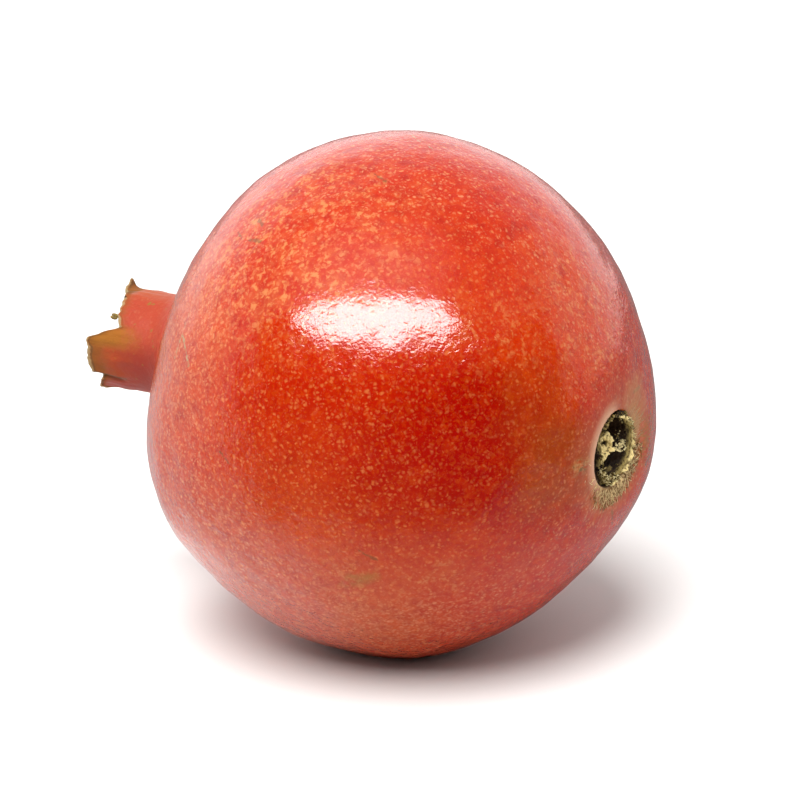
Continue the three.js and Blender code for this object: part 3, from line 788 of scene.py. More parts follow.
def strands(tree, given):
    """Wavy strands, one from each root: along its reach, drawn aside by its bend, and tapering from
    its girth. Gives the strands as a mesh, and as the curves that they follow."""
    line = add(tree, "GeometryNodeCurvePrimitiveLine")[0]
    line = add(tree, "GeometryNodeResampleCurve", {"Curve": line, "Count": given["Steps"]})[0]
    curves = add(tree, "GeometryNodeInstanceOnPoints", {"Points": given["Roots"], "Instance": line})[0]
    curves = add(tree, "GeometryNodeRealizeInstances", {"Geometry": curves})[0]
    share = add(tree, "GeometryNodeSplineParameter")["Factor"]
    root, reach, bend, girth = (
        add(tree, "GeometryNodeInputNamedAttribute", {"Name": key}, data_type=kind)["Attribute"]
        for key, kind in (("root", "FLOAT_VECTOR"), ("reach", "FLOAT_VECTOR"),
                          ("bend", "FLOAT_VECTOR"), ("girth", "FLOAT"))
    )
    aside = add(tree, "ShaderNodeMath", {0: 1.0, 1: share}, operation="SUBTRACT")[0]
    aside = mask(tree, aside, share)
    aside = add(tree, "ShaderNodeVectorMath", {0: bend, "Scale": aside}, operation="SCALE")[0]
    aside = add(tree, "ShaderNodeVectorMath", {0: aside, "Scale": 4.0}, operation="SCALE")[0]
    at = add(tree, "ShaderNodeVectorMath", {0: reach, "Scale": share}, operation="SCALE")[0]
    at = add(tree, "ShaderNodeVectorMath", {0: root, 1: at})[0]
    at = add(tree, "ShaderNodeVectorMath", {0: at, 1: aside})[0]
    # neighbours wander apart, because each reads the noise further off by its own root
    seeded = add(tree, "ShaderNodeVectorMath", {0: root, "Scale": 0.6}, operation="SCALE")[0]
    seeded = add(tree, "ShaderNodeVectorMath", {0: at, 1: seeded})[0]
    wander = add(tree, "ShaderNodeTexNoise", {"Vector": seeded, "Scale": given["Waves"]})["Color"]
    wander = add(tree, "ShaderNodeVectorMath", {0: wander, 1: (0.5, 0.5, 0.5)}, operation="SUBTRACT")[0]
    wide = mask(tree, share, given["Waviness"])
    wander = add(tree, "ShaderNodeVectorMath", {0: wander, "Scale": wide}, operation="SCALE")[0]
    at = add(tree, "ShaderNodeVectorMath", {0: at, 1: wander})[0]
    curves = add(tree, "GeometryNodeSetPosition", {"Geometry": curves, "Position": at})[0]
    thinning = mask(tree, share, given["Taper"])
    thinning = add(tree, "ShaderNodeMath", {0: 1.0, 1: thinning}, operation="SUBTRACT")[0]
    profile = add(tree, "GeometryNodeCurvePrimitiveCircle", {"Resolution": given["Sides"], "Radius": 1.0})[0]
    tubes = add(tree, "GeometryNodeCurveToMesh", {
        "Curve": curves, "Profile Curve": profile, "Scale": mask(tree, girth, thinning), "Fill Caps": True,
    })[0]
    return tubes, curves


def random_turn(tree, given, most):
    """A random rotation, of up to most radians about each axis."""
    drawn = add(tree, "FunctionNodeRandomValue", {"Min": (0, 0, 0), "Max": most, "Seed": given["Seed"]},
                data_type="FLOAT_VECTOR")[0]
    return add(tree, "FunctionNodeEulerToRotation", {0: drawn})[0]


def stamens(tree, given):
    """Strands with an anther at each tip: two plump lobes side by side, turned along the strand."""
    tubes, curves = strands(tree, given)
    lobes = []
    for side in (-1, 1):
        lobe = add(tree, "GeometryNodeMeshUVSphere", {"Segments": 7, "Rings": 5, "Radius": 1.0})[0]
        lobes.append(add(tree, "GeometryNodeTransform", {
            "Geometry": lobe, "Translation": (0.48 * side, 0, 0.1), "Scale": (0.62, 0.55, 1.15),
        })[0])
    anther = add(tree, "GeometryNodeJoinGeometry", {"Geometry": lobes})[0]
    tip = add(tree, "GeometryNodeCurveEndpointSelection", {"Start Size": 0, "End Size": 1})[0]
    tangent = add(tree, "GeometryNodeInputTangent")[0]
    turned = add(tree, "FunctionNodeAlignRotationToVector", {"Vector": tangent}, axis="Z")[0]
    turned = add(tree, "FunctionNodeRotateRotation",
                 {0: turned, 1: random_turn(tree, given, (0, 0, FULL_TURN))}, rotation_space="LOCAL")[0]
    size = add(tree, "GeometryNodeInputNamedAttribute", {"Name": "anther"}, data_type="FLOAT")["Attribute"]
    anthers = add(tree, "GeometryNodeInstanceOnPoints", {
        "Points": curves, "Selection": tip, "Instance": anther, "Rotation": turned, "Scale": size,
    })[0]
    return add(tree, "GeometryNodeJoinGeometry", {"Geometry": [tubes, anthers]})[0]


# the filaments spiral out from the middle of the mat; then come the tall stamen and the style
chance = np.random.default_rng(5)
number = np.arange(STAMEN_COUNT)
out_share = np.sqrt((number + 0.5) / STAMEN_COUNT)
stamen_turn = number * GOLDEN_ANGLE
filament_root = around(stamen_turn, out_share * (MAT_RADIUS - 0.5), MAT_TOP - 0.5)
filament_tip = around(stamen_turn + chance.normal(14, 16, STAMEN_COUNT), out_share * TIP_SPREAD,
                      STAMEN_TOP - 3.4 * chance.random(STAMEN_COUNT) ** 1.5)
filament_bend = around(chance.uniform(0, 360, STAMEN_COUNT), chance.uniform(0.2, 0.9, STAMEN_COUNT), 0.0)
tall_turn = TALL_STAMEN["around"]
tall_root = around(tall_turn, MAT_RADIUS - 0.8, MAT_TOP)
tall_tip = around(tall_turn, TALL_STAMEN["radius"], TALL_STAMEN["top"])
style_root = around(0, 0.3, MAT_TOP - 0.5)
style_tip = around(60, 0.9, STAMEN_TOP - 0.4)
stamen_root = np.vstack([filament_root, tall_root, style_root])
stamen_roots = {
    "root": stamen_root,
    "reach": np.vstack([filament_tip, tall_tip, style_tip]) - stamen_root,
    "bend": np.vstack([filament_bend, around(tall_turn + 180, 0.5, 0), around(150, 0.5, 0)]),
    "girth": np.append(STAMEN_GIRTH * chance.uniform(0.8, 1.3, STAMEN_COUNT), [STAMEN_GIRTH, STYLE_GIRTH]),
    "anther": np.append(ANTHER_SIZE * chance.uniform(0.7, 1.15, STAMEN_COUNT), [TALL_ANTHER, STIGMA_SIZE]),
    "tint": np.append(chance.random(STAMEN_COUNT), [1.0, 0.5]),
}

# dead filament: straw to olive, each its own tint, soiled in places, with no shine at all
dried_stamen, threads = new_material("dried stamens")
where = add(threads, "ShaderNodeTexCoord")["Object"]
own_tint = add(threads, "ShaderNodeAttribute", attribute_name="tint")["Fac"]
soiled = grown_noise(threads, where, 0.0009, 3.0, 0.6, 0.01)["Fac"]
creases = grown_noise(threads, where, 0.00018, 2.0, 0.5, 0.02)["Fac"]
surface(threads, {
    "Base Color": painted(threads, FILAMENT_TAN, (
        (ANTHER_OLIVE, 1.0, (own_tint, 0.2, 0.9)),
        (DRY_DARK, 1.0, (soiled, 0.5, 0.75)),
    )),
    "Roughness": 0.85,
    "Normal": add(threads, "ShaderNodeBump", {"Strength": 0.6, "Distance": 0.00005, "Height": creases})[0],
})

stamen_tuft = grow("stamen_tuft", stamen_roots, {
    "Steps": 9, "Sides": 6, "Taper": 0.35, "Waviness": 0.9, "Waves": 0.45, "Seed": 3,
    "Material": dried_stamen,
}, stamens)
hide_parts("stamens")
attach(stamen_tuft, "root")

# the mat that they stand on: a low felted cushion, closed underneath
mat_section = np.array([(r, MAT_TOP) for r in np.linspace(0, MAT_RADIUS, 26)]
                       + [(MAT_RADIUS + 0.1, MAT_TOP - 0.5), (MAT_RADIUS, CUP_FLOOR_LEVEL + 0.4),
                          (MAT_RADIUS - 1, CUP_FLOOR_LEVEL + 0.3), (0, CUP_FLOOR_LEVEL + 0.3)])
mat_points = around(all_round(MAT_COLUMNS)[None, :], mat_section[:, :1], mat_section[:, 1:])
felt = 0.22 * ripples(mat_points, 1.3, 51) + 0.12 * ripples(mat_points, 0.5, 52)
mat_points[..., 1] += np.where(mat_points[..., 1] > MAT_TOP - 0.1, felt, 0)
mat_faces = [face[::-1] for face in ring_faces(len(mat_section) - 2, MAT_COLUMNS)]
stamen_mat = mesh_object("stamen_mat", settle(poles_and_rows(mat_points)), mat_faces)
stamen_mat.data.materials.append(dried_stamen)
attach(stamen_mat, "root")

# ---------------------------------------------------------------------------------------------
# The stalk's remains. When the fruit was pulled off, the stalk broke inside the scar: its torn bark
# stands as a ragged ring, the woody core with its pith hole in the middle, and splinters, spongy
# strands and crumbs of wood lie between. Dry, matt, cream where it broke, and dark in the hollows,
# partly its own brown and partly painted shade.
LIP_LEVEL = float(LIP[1])
STUB_FLOOR = PIT_FLOOR_LEVEL - 0.3
PLATE_THICKNESS = 0.7
RING_RADIUS = 5.95
RING_WALL = 0.3
CORE_AT = {"turn": 311, "radius": 1.85}
CORE_RADIUS = 1.75
CORE_TOP = LIP_LEVEL + 0.5
PITH_RADIUS = 0.45
WOOD_VOXEL = 0.14
WOOD_CREAM = "#e8d190"
WOOD_OLIVE = "#75601d"
WOOD_BROWN = "#2c1503"
WOOD_IOR = 1.3  # dry and porous


def joined(pieces):
    """The points and faces of several meshes as one."""
    points, faces, first = [], [], 0
    for piece_points, piece_faces in pieces:
        points.append(piece_points)
        faces += [tuple(i + first for i in face) for face in piece_faces]
        first += len(piece_points)
    return np.concatenate(points), faces


def hoop(sections):
    """A closed ring swept through sections: an array of turns by section points."""
    turns, corners = sections.shape[:2]
    grid = np.arange(turns * corners).reshape(turns, corners)
    ahead, beside = np.roll(grid, -1, axis=0), np.roll(grid, -1, axis=1)
    diagonal = np.roll(ahead, -1, axis=1)
    return sections.reshape(-1, 3), np.stack([grid, ahead, diagonal, beside], -1).reshape(-1, 4).tolist()


def hill(turns, middle, width, power=2):
    """1 at a middle turn, and 1/e at width degrees from it on either side."""
    apart = (turns - middle + 180) % 360 - 180
    return np.exp(-((abs(apart) / width) ** power))


def pulled_in(turns):
    """How far the torn bark leans in from the scar's edge in mm: most at the front."""
    return 2.65 * hill(turns, 262, 50, 3)


def ring_radius(turns):
    """How far the torn bark's edge stands from the axis: spread at the back, drawn in on top."""
    spread = 0.6 * hill(turns, 100, 50) - 0.6 * hill(turns, 0, 35)
    return RING_RADIUS + spread - pulled_in(turns)


def ring_top(turns):
    """The level of the torn bark's edge: proud of the lip at the back, broken low at the upper front."""
    return LIP_LEVEL - 0.45 * hill(turns, 95, 75) + 0.12 * pulled_in(turns) + 1.1 * hill(turns, 322, 24)


def bark_ring():
    """The torn bark: a thin wall round the scar with a ragged edge."""
    turns = all_round(240)
    circle = around(turns, 6.0, 0.0)
    top_radius = ring_radius(turns) + 0.1 * ripples(circle, 2.2, 61)
    base_radius = RING_RADIUS - 0.35 - 0.8 * pulled_in(turns)
    torn = 0.22 * ripples(circle, 2.6, 62) + 0.18 * ripples(circle, 0.9, 63)
    top = ring_top(turns) + np.clip(torn, -0.5, 0.7)
    wall = RING_WALL * (1 + 0.2 * ripples(circle, 1.3, 64))
    rows = []
    for side, shares in ((0.5, np.linspace(0, 1, 12)), (-0.5, np.linspace(1, 0, 12))):
        for rise in shares:
            radius = base_radius + (top_radius - base_radius) * rise + side * wall * (1.5 - 0.9 * rise)
            rows.append(around(turns, radius, STUB_FLOOR + (top - STUB_FLOOR) * rise))
    return hoop(np.stack(rows, axis=1))


def woody_core():
    """The core: a thick-walled pipe of wood round the pith."""
    turns = all_round(48)
    middle = around(CORE_AT["turn"], CORE_AT["radius"], 0.0)
    rim = 0.35 * ripples(around(turns, CORE_RADIUS, 0.0), 1.6, 66)
    outer, inner = CORE_RADIUS * (1 + 0.1 * np.sin(np.radians(3 * turns))), PITH_RADIUS
    rows = [(outer * 0.9, STUB_FLOOR), (outer, CORE_TOP + 0.5), (outer * 0.86, CORE_TOP + rim),
            (inner * 1.5, CORE_TOP + 0.15 + 0.5 * rim), (inner, CORE_TOP + 0.5), (inner, STUB_FLOOR)]
    return hoop(np.stack([middle + around(turns, radius + 0 * turns, level + 0 * turns)
                          for radius, level in rows], axis=1))


def floor_plate():
    """The floor of torn wood that the rest grows from: a disc with a pinhole in the middle."""
    turns = all_round(60)
    inner, outer, under = 0.02, RING_RADIUS - 0.2, STUB_FLOOR - PLATE_THICKNESS
    rows = [(inner, STUB_FLOOR), (outer, STUB_FLOOR), (outer, under), (inner, under)]
    return hoop(np.stack([around(turns, radius, level) for radius, level in rows], axis=1))


def splinter(turn, start, end, width, start_top, end_top, shift=0.0):
    """A splinter that stands along a turn, from a start to an end radius. Its torn top slopes between
    two heights over the lip's level, and it may stand shifted aside."""
    along, across = around(turn, 1.0, 0.0), around(turn + 90, 1.0, 0.0)
    corners = [
        along * radius + across * (shift + aside) + np.array([0, level, 0])
        for radius, tall in ((start, start_top), (end, end_top))
        for aside in (-width / 2, width / 2) for level in (LIP_LEVEL + tall, STUB_FLOOR - 0.3)
    ]
    faces = [(0, 1, 3, 2), (4, 6, 7, 5), (0, 4, 5, 1), (2, 3, 7, 6), (0, 2, 6, 4), (1, 5, 7, 3)]
    return np.array(corners), faces


def points_of(mesh, what="vertices", field="co"):
    """A vector of each vertex of a mesh, as an array."""
    values = np.empty(3 * len(mesh.vertices))
    getattr(mesh, what).foreach_get(field, values)
    return values.reshape(-1, 3)


def mean_of_neighbours(mesh, values):
    """For each vertex, the mean of the values at the vertices that it shares an edge with."""
    ends = np.empty(2 * len(mesh.edges), int)
    mesh.edges.foreach_get("vertices", ends)
    first, last = ends.reshape(-1, 2).T
    total, count = np.zeros_like(values), np.zeros(len(values))
    for a, b in ((first, last), (last, first)):
        np.add.at(total, a, values[b])
        np.add.at(count, a, 1)
    return total / count[:, None]


# the pieces as they tore, grown together into one mesh
wood_points, wood_faces = joined([
    bark_ring(), woody_core(), floor_plate(),
    splinter(222, 0.9, 3.1, 1.0, 0.5, 0.9, 0.3),
    splinter(80, 0.6, 2.4, 1.2, 0.8, 1.6),
    splinter(186, 4.7, 6.1, 3.4, 1.7, 0.8),
    splinter(160, 4.8, 6.2, 2.6, 1.9, 0.8),
    splinter(212, 5.0, 6.0, 2.2, 1.7, 1.0),
])
stalk = mesh_object("stalk_remains", wood_points, wood_faces)
grown_together = stalk.modifiers.new("grown together", "REMESH")
grown_together.mode = "VOXEL"
grown_together.voxel_size = WOOD_VOXEL
stalk_mesh = evaluated(stalk)

# its surface is torn in layers, along the bark, with finer fibres over them
wood = points_of(stalk_mesh)
outward = points_of(stalk_mesh, "vertex_normals", "vector")
layered = wood * (1, 2.2, 1)
torn = 0.07 * ripples(layered, 1.6, 67) + 0.05 * ripples(layered, 0.8, 68) + 0.025 * ripples(wood, 0.4, 69)
wood = wood + outward * torn[:, None]
stalk_mesh.vertices.foreach_set("co", wood.ravel())
smoothed = wood
for _ in range(3):
    smoothed = mean_of_neighbours(stalk_mesh, smoothed)
note(stalk_mesh, "crest", ((wood - smoothed) * outward).sum(axis=-1))

# how deep the wood lies, which its material turns into painted shade: under its own edge for the
# bark, with more painted shade behind where it leans in, and under the scar's lip for the rest. The
# broken face of the core and of the splinter beside it stays pale furthest down.
core_middle = around(CORE_AT["turn"], CORE_AT["radius"], 0.0)
core_line = around(218, 2.9, 0.0) - core_middle
from_core = wood * (1, 0, 1) - core_middle
along_line = np.clip(from_core @ core_line / (core_line @ core_line), 0, 1)
off_core = np.linalg.norm(from_core - along_line[:, None] * core_line, axis=-1)
# painted shade in the pith hole: it counts 3 mm deeper, so it is painted dark
in_pith = np.exp(-((np.linalg.norm(from_core, axis=-1) / 0.6) ** 4))
below_lip = wood[:, 1] - LIP_LEVEL - 1.3 * np.exp(-((off_core / 2.1) ** 4)) + 3.0 * in_pith
wood_turn = np.degrees(np.arctan2(wood[:, 0], wood[:, 2]))
wood_radius = np.hypot(wood[:, 0], wood[:, 2])
below_edge = 1.5 * (wood[:, 1] - ring_top(wood_turn)) + 0.1
below_edge += np.where(wood_radius > ring_radius(wood_turn) + 0.1, 0.7 * pulled_in(wood_turn), 0)
in_bark = wood_radius > ring_radius(wood_turn) - 0.8
note(stalk_mesh, "depth", np.where(in_bark, below_edge, below_lip))
lay(stalk_mesh)

# torn wood, matt: cream where it broke and paler on its crests, partly a painted highlight; olive
# mottling where it weathered; olive, then brown, deeper down and in its hollows, its own brown deepened by
# painted shade
stalk_wood, grain_tree = new_material("torn stalk wood")
where = add(grain_tree, "ShaderNodeTexCoord")["Object"]
deep = add(grain_tree, "ShaderNodeAttribute", attribute_name="depth")["Fac"]
crest = add(grain_tree, "ShaderNodeAttribute", attribute_name="crest")["Fac"]
mottle = grown_noise(grain_tree, where, 0.0007, 3.0, 0.65, 0.03)["Fac"]
fine = grown_noise(grain_tree, where, 0.0002, 2.0, 0.6, 0.05)["Fac"]
surface(grain_tree, {
    "Base Color": painted(grain_tree, WOOD_CREAM, (
        # painted shade with depth, over the wood's own olive
        (WOOD_OLIVE, 0.75, (deep, 0.1, 1.1)),
        (WOOD_OLIVE, 0.6, (mottle, 0.5, 0.68)),
        # painted shade in small hollows
        (WOOD_BROWN, 0.7, (crest, -0.01, -0.06)),
        (WOOD_BROWN, 0.25, (fine, 0.6, 0.8)),
        # crests paler: the broken wood's cream, partly a painted highlight
        (WOOD_CREAM, 0.85, (crest, 0.04, 0.1), (deep, 0.1, 1.1, 1.0, 0.15)),
        # painted shade furthest down, over the wood's own brown
        (WOOD_BROWN, 0.97, (deep, 1.1, 2.6)),
    )),
    "Roughness": 0.85,
    "IOR": WOOD_IOR,
    "Normal": add(grain_tree, "ShaderNodeBump", {"Strength": 0.7, "Distance": 0.00005, "Height": fine})[0],
})
stalk_mesh.materials.append(stalk_wood)
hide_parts("stem_stub")
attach(stalk, "root")

# fibres: frayed ones on the ring's edge, from the top round the back to the underside
FRAYED_COUNT = 100
FIBRE_CREAM = "#d8c894"
FIBRE_OLIVE = "#74602a"
FIBRE_BROWN = "#241708"

chance = np.random.default_rng(17)
frayed_turn = chance.uniform(10, 215, FRAYED_COUNT)
frayed_radius = ring_radius(frayed_turn) + chance.normal(0, 0.1, FRAYED_COUNT)
fibre_roots = {
    "root": around(frayed_turn, frayed_radius, ring_top(frayed_turn) + 0.25),
    "reach": around(frayed_turn + chance.normal(0, 60, FRAYED_COUNT),
                    chance.uniform(-0.2, 0.4, FRAYED_COUNT), -chance.uniform(0.2, 0.55, FRAYED_COUNT)),
    "bend": chance.normal(0, 0.15, (FRAYED_COUNT, 3)),
    "girth": chance.uniform(0.05, 0.11, FRAYED_COUNT),
    "tint": chance.random(FRAYED_COUNT) * 0.7,
}

# loose wood fibre, each with its own tint from cream to brown
frayed_fibre, fibre_tree = new_material("frayed stalk fibre")
own_tint = add(fibre_tree, "ShaderNodeAttribute", attribute_name="tint")["Fac"]
where = add(fibre_tree, "ShaderNodeTexCoord")["Object"]
spotted = grown_noise(fibre_tree, where, 0.0004, 2.0, 0.6, 0.07)["Fac"]
toned = add(fibre_tree, "ShaderNodeMath", {0: spotted, 1: 0.8, 2: own_tint}, operation="MULTIPLY_ADD")[0]
surface(fibre_tree, {
    "Base Color": painted(fibre_tree, FIBRE_CREAM, (
        (FIBRE_OLIVE, 1.0, (toned, 0.6, 1.0)),
        (FIBRE_BROWN, 1.0, (toned, 1.05, 1.3)),
    )),
    "Roughness": 0.85,
    "IOR": WOOD_IOR,
})


def fibres(tree, given):
    """Bare strands."""
    return strands(tree, given)[0]


stalk_fibres = grow("stalk_fibres", fibre_roots, {
    "Steps": 7, "Sides": 5, "Taper": 0.6, "Waviness": 0.7, "Waves": 1.1, "Seed": 1,
    "Material": frayed_fibre,
}, fibres)
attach(stalk_fibres, "root")


def crumbs(tree, given):
    """Small angular lumps, one on each root, turned and sized at random."""
    lump = add(tree, "GeometryNodeMeshIcoSphere", {"Radius": 1.0, "Subdivisions": 2})[0]
    size = add(tree, "GeometryNodeInputNamedAttribute", {"Name": "size"}, data_type="FLOAT")["Attribute"]
    sown = add(tree, "GeometryNodeInstanceOnPoints", {
        "Points": given["Roots"], "Instance": lump, "Scale": size,
        "Rotation": random_turn(tree, given, (FULL_TURN, FULL_TURN, FULL_TURN)),
    })[0]
    sown = add(tree, "GeometryNodeRealizeInstances", {"Geometry": sown})[0]
    at = add(tree, "GeometryNodeInputPosition")[0]
    pushed = add(tree, "ShaderNodeTexNoise", {"Vector": at, "Scale": given["Lumps"]})["Color"]
    pushed = add(tree, "ShaderNodeVectorMath", {0: pushed, 1: (0.5, 0.5, 0.5)}, operation="SUBTRACT")[0]
    pushed = add(tree, "ShaderNodeVectorMath", {0: pushed, "Scale": given["Roughness"]}, operation="SCALE")[0]
    return add(tree, "GeometryNodeSetPosition", {"Geometry": sown, "Offset": pushed})[0]


# drifts of crumbs of broken wood: the turns, the distances from the ring's edge or from the axis,
# the depths under the lip, how many, their sizes, and their tints from cream to brown
CRUMB_DRIFTS = (
    ((84, 114), (1.4, 4.9), False, (0.2, 0.8), 46, (0.11, 0.22), (0.0, 0.25)),
    ((62, 92), (2.6, 4.7), False, (1.1, 2.0), 22, (0.08, 0.15), (0.2, 0.9)),
    ((156, 228), (-1.0, 0.35), True, (-0.2, 1.1), 200, (0.08, 0.2), (0.0, 1.0)),
    ((15, 145), (-0.1, 0.35), True, (-0.4, 0.1), 60, (0.05, 0.13), (0.1, 1.0)),
    ((318, 402), (0.2, 0.9), True, (-0.1, 0.7), 70, (0.1, 0.26), (0.45, 1.0)),
    ((10, 150), (-1.0, -0.4), True, (0.6, 1.8), 16, (0.08, 0.16), (0.3, 1.0)),
)
crumb_at, crumb_size, crumb_tint = [], [], []
for turns, reach, from_ring, depths, count, sizes, tints in CRUMB_DRIFTS:
    crumb_turn = chance.uniform(*turns, count)
    crumb_radius = chance.uniform(*reach, count) + (ring_radius(crumb_turn) if from_ring else 0)
    crumb_at.append(around(crumb_turn, crumb_radius, LIP_LEVEL + chance.uniform(*depths, count)))
    crumb_size.append(chance.uniform(*sizes, count))
    crumb_tint.append(chance.uniform(*tints, count))
stalk_crumbs = grow("stalk_crumbs", {
    "root": np.vstack(crumb_at), "size": np.concatenate(crumb_size), "tint": np.concatenate(crumb_tint),
}, {"Lumps": 2.4, "Roughness": 0.5, "Seed": 9, "Material": frayed_fibre}, crumbs)
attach(stalk_crumbs, "root")

# ---------------------------------------------------------------------------------------------
# Cork scales. Where the stalk tore away, the rind healed with a collar of dry russet scales that
# lie outwards like fur, thickest under the scar and behind it.
SCALE_COUNT = 820
SCALE_CREAM = "#dcc08c"
SCALE_RUSSET = "#6f4a20"

# two in three lie under the scar, and the others behind it
chance = np.random.default_rng(29)
scale_turn = np.where(chance.random(SCALE_COUNT) < 0.65, chance.normal(172, 27, SCALE_COUNT),
                      abs(chance.normal(122, 22, SCALE_COUNT) - 98) + 98)
scale_radius = PIT_RADIUS + 0.4 + np.minimum(abs(chance.normal(0, 1.5, SCALE_COUNT)), 3.2)
scale_along = np.degrees(np.arcsin(scale_radius / BODY_RADIUS))
scale_root = swell(on_body(scale_turn, scale_along))
ahead = swell(on_body(scale_turn, scale_along + 1.0)) - scale_root
ahead /= np.linalg.norm(ahead, axis=1, keepdims=True)
aside = np.cross(ahead, scale_root)
aside /= np.linalg.norm(aside, axis=1, keepdims=True)
lifted = np.cross(aside, ahead)
lifted *= np.sign((lifted * scale_root).sum(axis=1, keepdims=True))
length = chance.uniform(0.35, 0.95, (SCALE_COUNT, 1))
fanned = aside * chance.normal(0, 0.75, (SCALE_COUNT, 1))
raised = lifted * chance.uniform(0.0, 0.2, (SCALE_COUNT, 1))
raised = raised * np.clip((scale_turn[:, None] - 90) / 60, 0.1, 1)
scale_roots = {
    "root": scale_root + lifted * 0.02,
    "reach": length * (ahead + fanned + raised),
    "bend": lifted * chance.uniform(0.02, 0.14, (SCALE_COUNT, 1)),
    "girth": chance.uniform(0.04, 0.1, SCALE_COUNT),
    "tint": chance.random(SCALE_COUNT),
}

# cork: matt and dry, each scale its own tint from cream to russet
cork_scale, scale_tree = new_material("dry cork scales")
own_tint = add(scale_tree, "ShaderNodeAttribute", attribute_name="tint")["Fac"]
surface(scale_tree, {
    "Base Color": painted(scale_tree, SCALE_CREAM, ((SCALE_RUSSET, 1.0, (own_tint, 0.2, 0.85)),)),
    "Roughness": 0.8,
    "IOR": WOOD_IOR,
})
cork_collar = grow("cork_collar", scale_roots, {
    "Steps": 6, "Sides": 5, "Taper": 0.75, "Waviness": 0.25, "Waves": 1.4, "Seed": 1,
    "Material": cork_scale,
}, fibres)
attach(cork_collar, "root")

# ---------------------------------------------------------------------------------------------
# Floor. A plain pale table top of matt laminate, which runs on past the view. The fruit lies on it
# loose, on the flat that its own weight pressed.
FLOOR_HALF = 6.0
FLOOR_LEVEL = -0.00005
FLOOR_GREY = "#e6e5e3"


def sheet_object(name, half, level):
    """A square sheet that lies level, half its width to each side of the middle."""
    corners = [(-half, -half, level), (half, -half, level), (half, half, level), (-half, half, level)]
    return mesh_object(name, np.array(corners), [(0, 1, 2, 3)])


floor = sheet_object("floor", FLOOR_HALF, FLOOR_LEVEL)
table_top, top_tree = new_material("matt white laminate")
surface(top_tree, {"Base Color": linear(FLOOR_GREY), "Roughness": 0.9})
floor.data.materials.append(table_top)

# ---------------------------------------------------------------------------------------------
# Light and camera. The fruit lies in a white room that is open and dark in front. A large soft
# light hangs over it, a little in front and to the left, and a long softbox lower down in front
# makes the one bright streak in the wax.
CAMERA_AZIMUTH = 31
CAMERA_ELEVATION = 18
CAMERA_DISTANCE = 0.6
CAMERA_LENS = 157.9
CAMERA_SENSOR = 36
MIDDLE = Vector((0, 0, REST_HEIGHT / 1000))
AIM_RIGHT = 0.00024
AIM_UP = -0.00137
# azimuth from the camera's, elevation, distance, width and height of the oval, roll and radiance
OVERHEAD = {
    "azimuth": -22, "elevation": 63, "distance": 2.5, "size": (1.6, 2.4), "roll": 0, "radiance": 10.82}
SOFTBOX = {
    "azimuth": -27, "elevation": 40, "distance": 2.5, "size": (6.6, 1.12), "roll": 27, "radiance": 19.74}
WALL_BEHIND = 1.5
WALL_BESIDE = 0.8
CEILING_SHARE = 0.38
RIGHT_SHARE = 0.9
CEILING_GLOW = 0.95


def direction(azimuth, elevation):
    """The unit vector from the fruit towards an azimuth, 0 being -Y and 90 being +X, and an elevation."""
    turn, rise = math.radians(azimuth), math.radians(elevation)
    return Vector((math.sin(turn) * math.cos(rise), -math.cos(turn) * math.cos(rise), math.sin(rise)))


camera = bpy.data.objects.new("camera", bpy.data.cameras.new("camera"))
bpy.context.scene.collection.objects.link(camera)
bpy.context.scene.camera = camera
back = direction(CAMERA_AZIMUTH, CAMERA_ELEVATION)
right = direction(CAMERA_AZIMUTH + 90, 0)
up = back.cross(right)
camera.data.lens = CAMERA_LENS
camera.data.sensor_width = CAMERA_SENSOR
camera.data.clip_start = 0.01
camera.location = MIDDLE + back * CAMERA_DISTANCE + right * AIM_RIGHT + up * AIM_UP
camera.rotation_euler = (-back).to_track_quat("-Z", "Y").to_euler()


def area_light(name, values):
    """A soft oval light that faces the fruit."""
    width, height = values["size"]
    lamp = bpy.data.objects.new(name, bpy.data.lights.new(name, "AREA"))
    bpy.context.scene.collection.objects.link(lamp)
    lamp.data.shape = "ELLIPSE"
    lamp.data.size = width
    lamp.data.size_y = height
    lamp.data.energy = values["radiance"] * math.pi * (math.pi / 4 * width * height)
    away = direction(CAMERA_AZIMUTH + values["azimuth"], values["elevation"])
    lamp.location = MIDDLE + away * values["distance"]
    aimed = (-away).to_track_quat("-Z", "Y")
    lamp.rotation_euler = (aimed @ Quaternion((0, 0, 1), math.radians(values["roll"]))).to_euler()
    return lamp


overhead = area_light("overhead", OVERHEAD)
overhead.visible_glossy = False
softbox = area_light("softbox", SOFTBOX)
softbox.visible_diffuse = False


def share_along(tree, way, axis):
    """How far a way goes along an axis: 1 straight along it, and -1 against it."""
    return add(tree, "ShaderNodeVectorMath", {0: way, 1: tuple(axis)}, operation="DOT_PRODUCT")["Value"]


# the room's walls: bright behind the fruit, dim beside it and dark in front, under a dim ceiling
# that glows round the overhead light. The camera itself sees plain white.
room = bpy.data.worlds.new("white room")
bpy.context.scene.world = room
room.use_nodes = True
walls = room.node_tree
walls.nodes.clear()
outlook = add(walls, "ShaderNodeTexCoord")["Generated"]
frontal = share_along(walls, outlook, direction(CAMERA_AZIMUTH, 0))
rightward = share_along(walls, outlook, right)
to_ceiling_light = share_along(walls, outlook, direction(CAMERA_AZIMUTH - 26, 62))
upward = add(walls, "ShaderNodeSeparateXYZ", {0: outlook})["Z"]
lit_walls = mask(walls, (frontal, -0.75, -0.1, WALL_BEHIND, WALL_BESIDE), (frontal, 0.1, 0.6, 1.0, 0.0),
                 (upward, 0.3, 0.8, 1.0, CEILING_SHARE), (rightward, 0.5, 0.95, 1.0, RIGHT_SHARE))
glow = mask(walls, (to_ceiling_light, math.cos(math.radians(50)), math.cos(math.radians(14)),
                    0.0, CEILING_GLOW))
glow = add(walls, "ShaderNodeMath", {0: lit_walls, 1: glow})[0]
seen = add(walls, "ShaderNodeLightPath")["Is Camera Ray"]
glow = add(walls, "ShaderNodeMath", {0: glow, 1: seen}, operation="MAXIMUM")[0]
light = add(walls, "ShaderNodeBackground", {"Color": (1, 1, 1, 1), "Strength": glow})[0]
add(walls, "ShaderNodeOutputWorld", {"Surface": light})

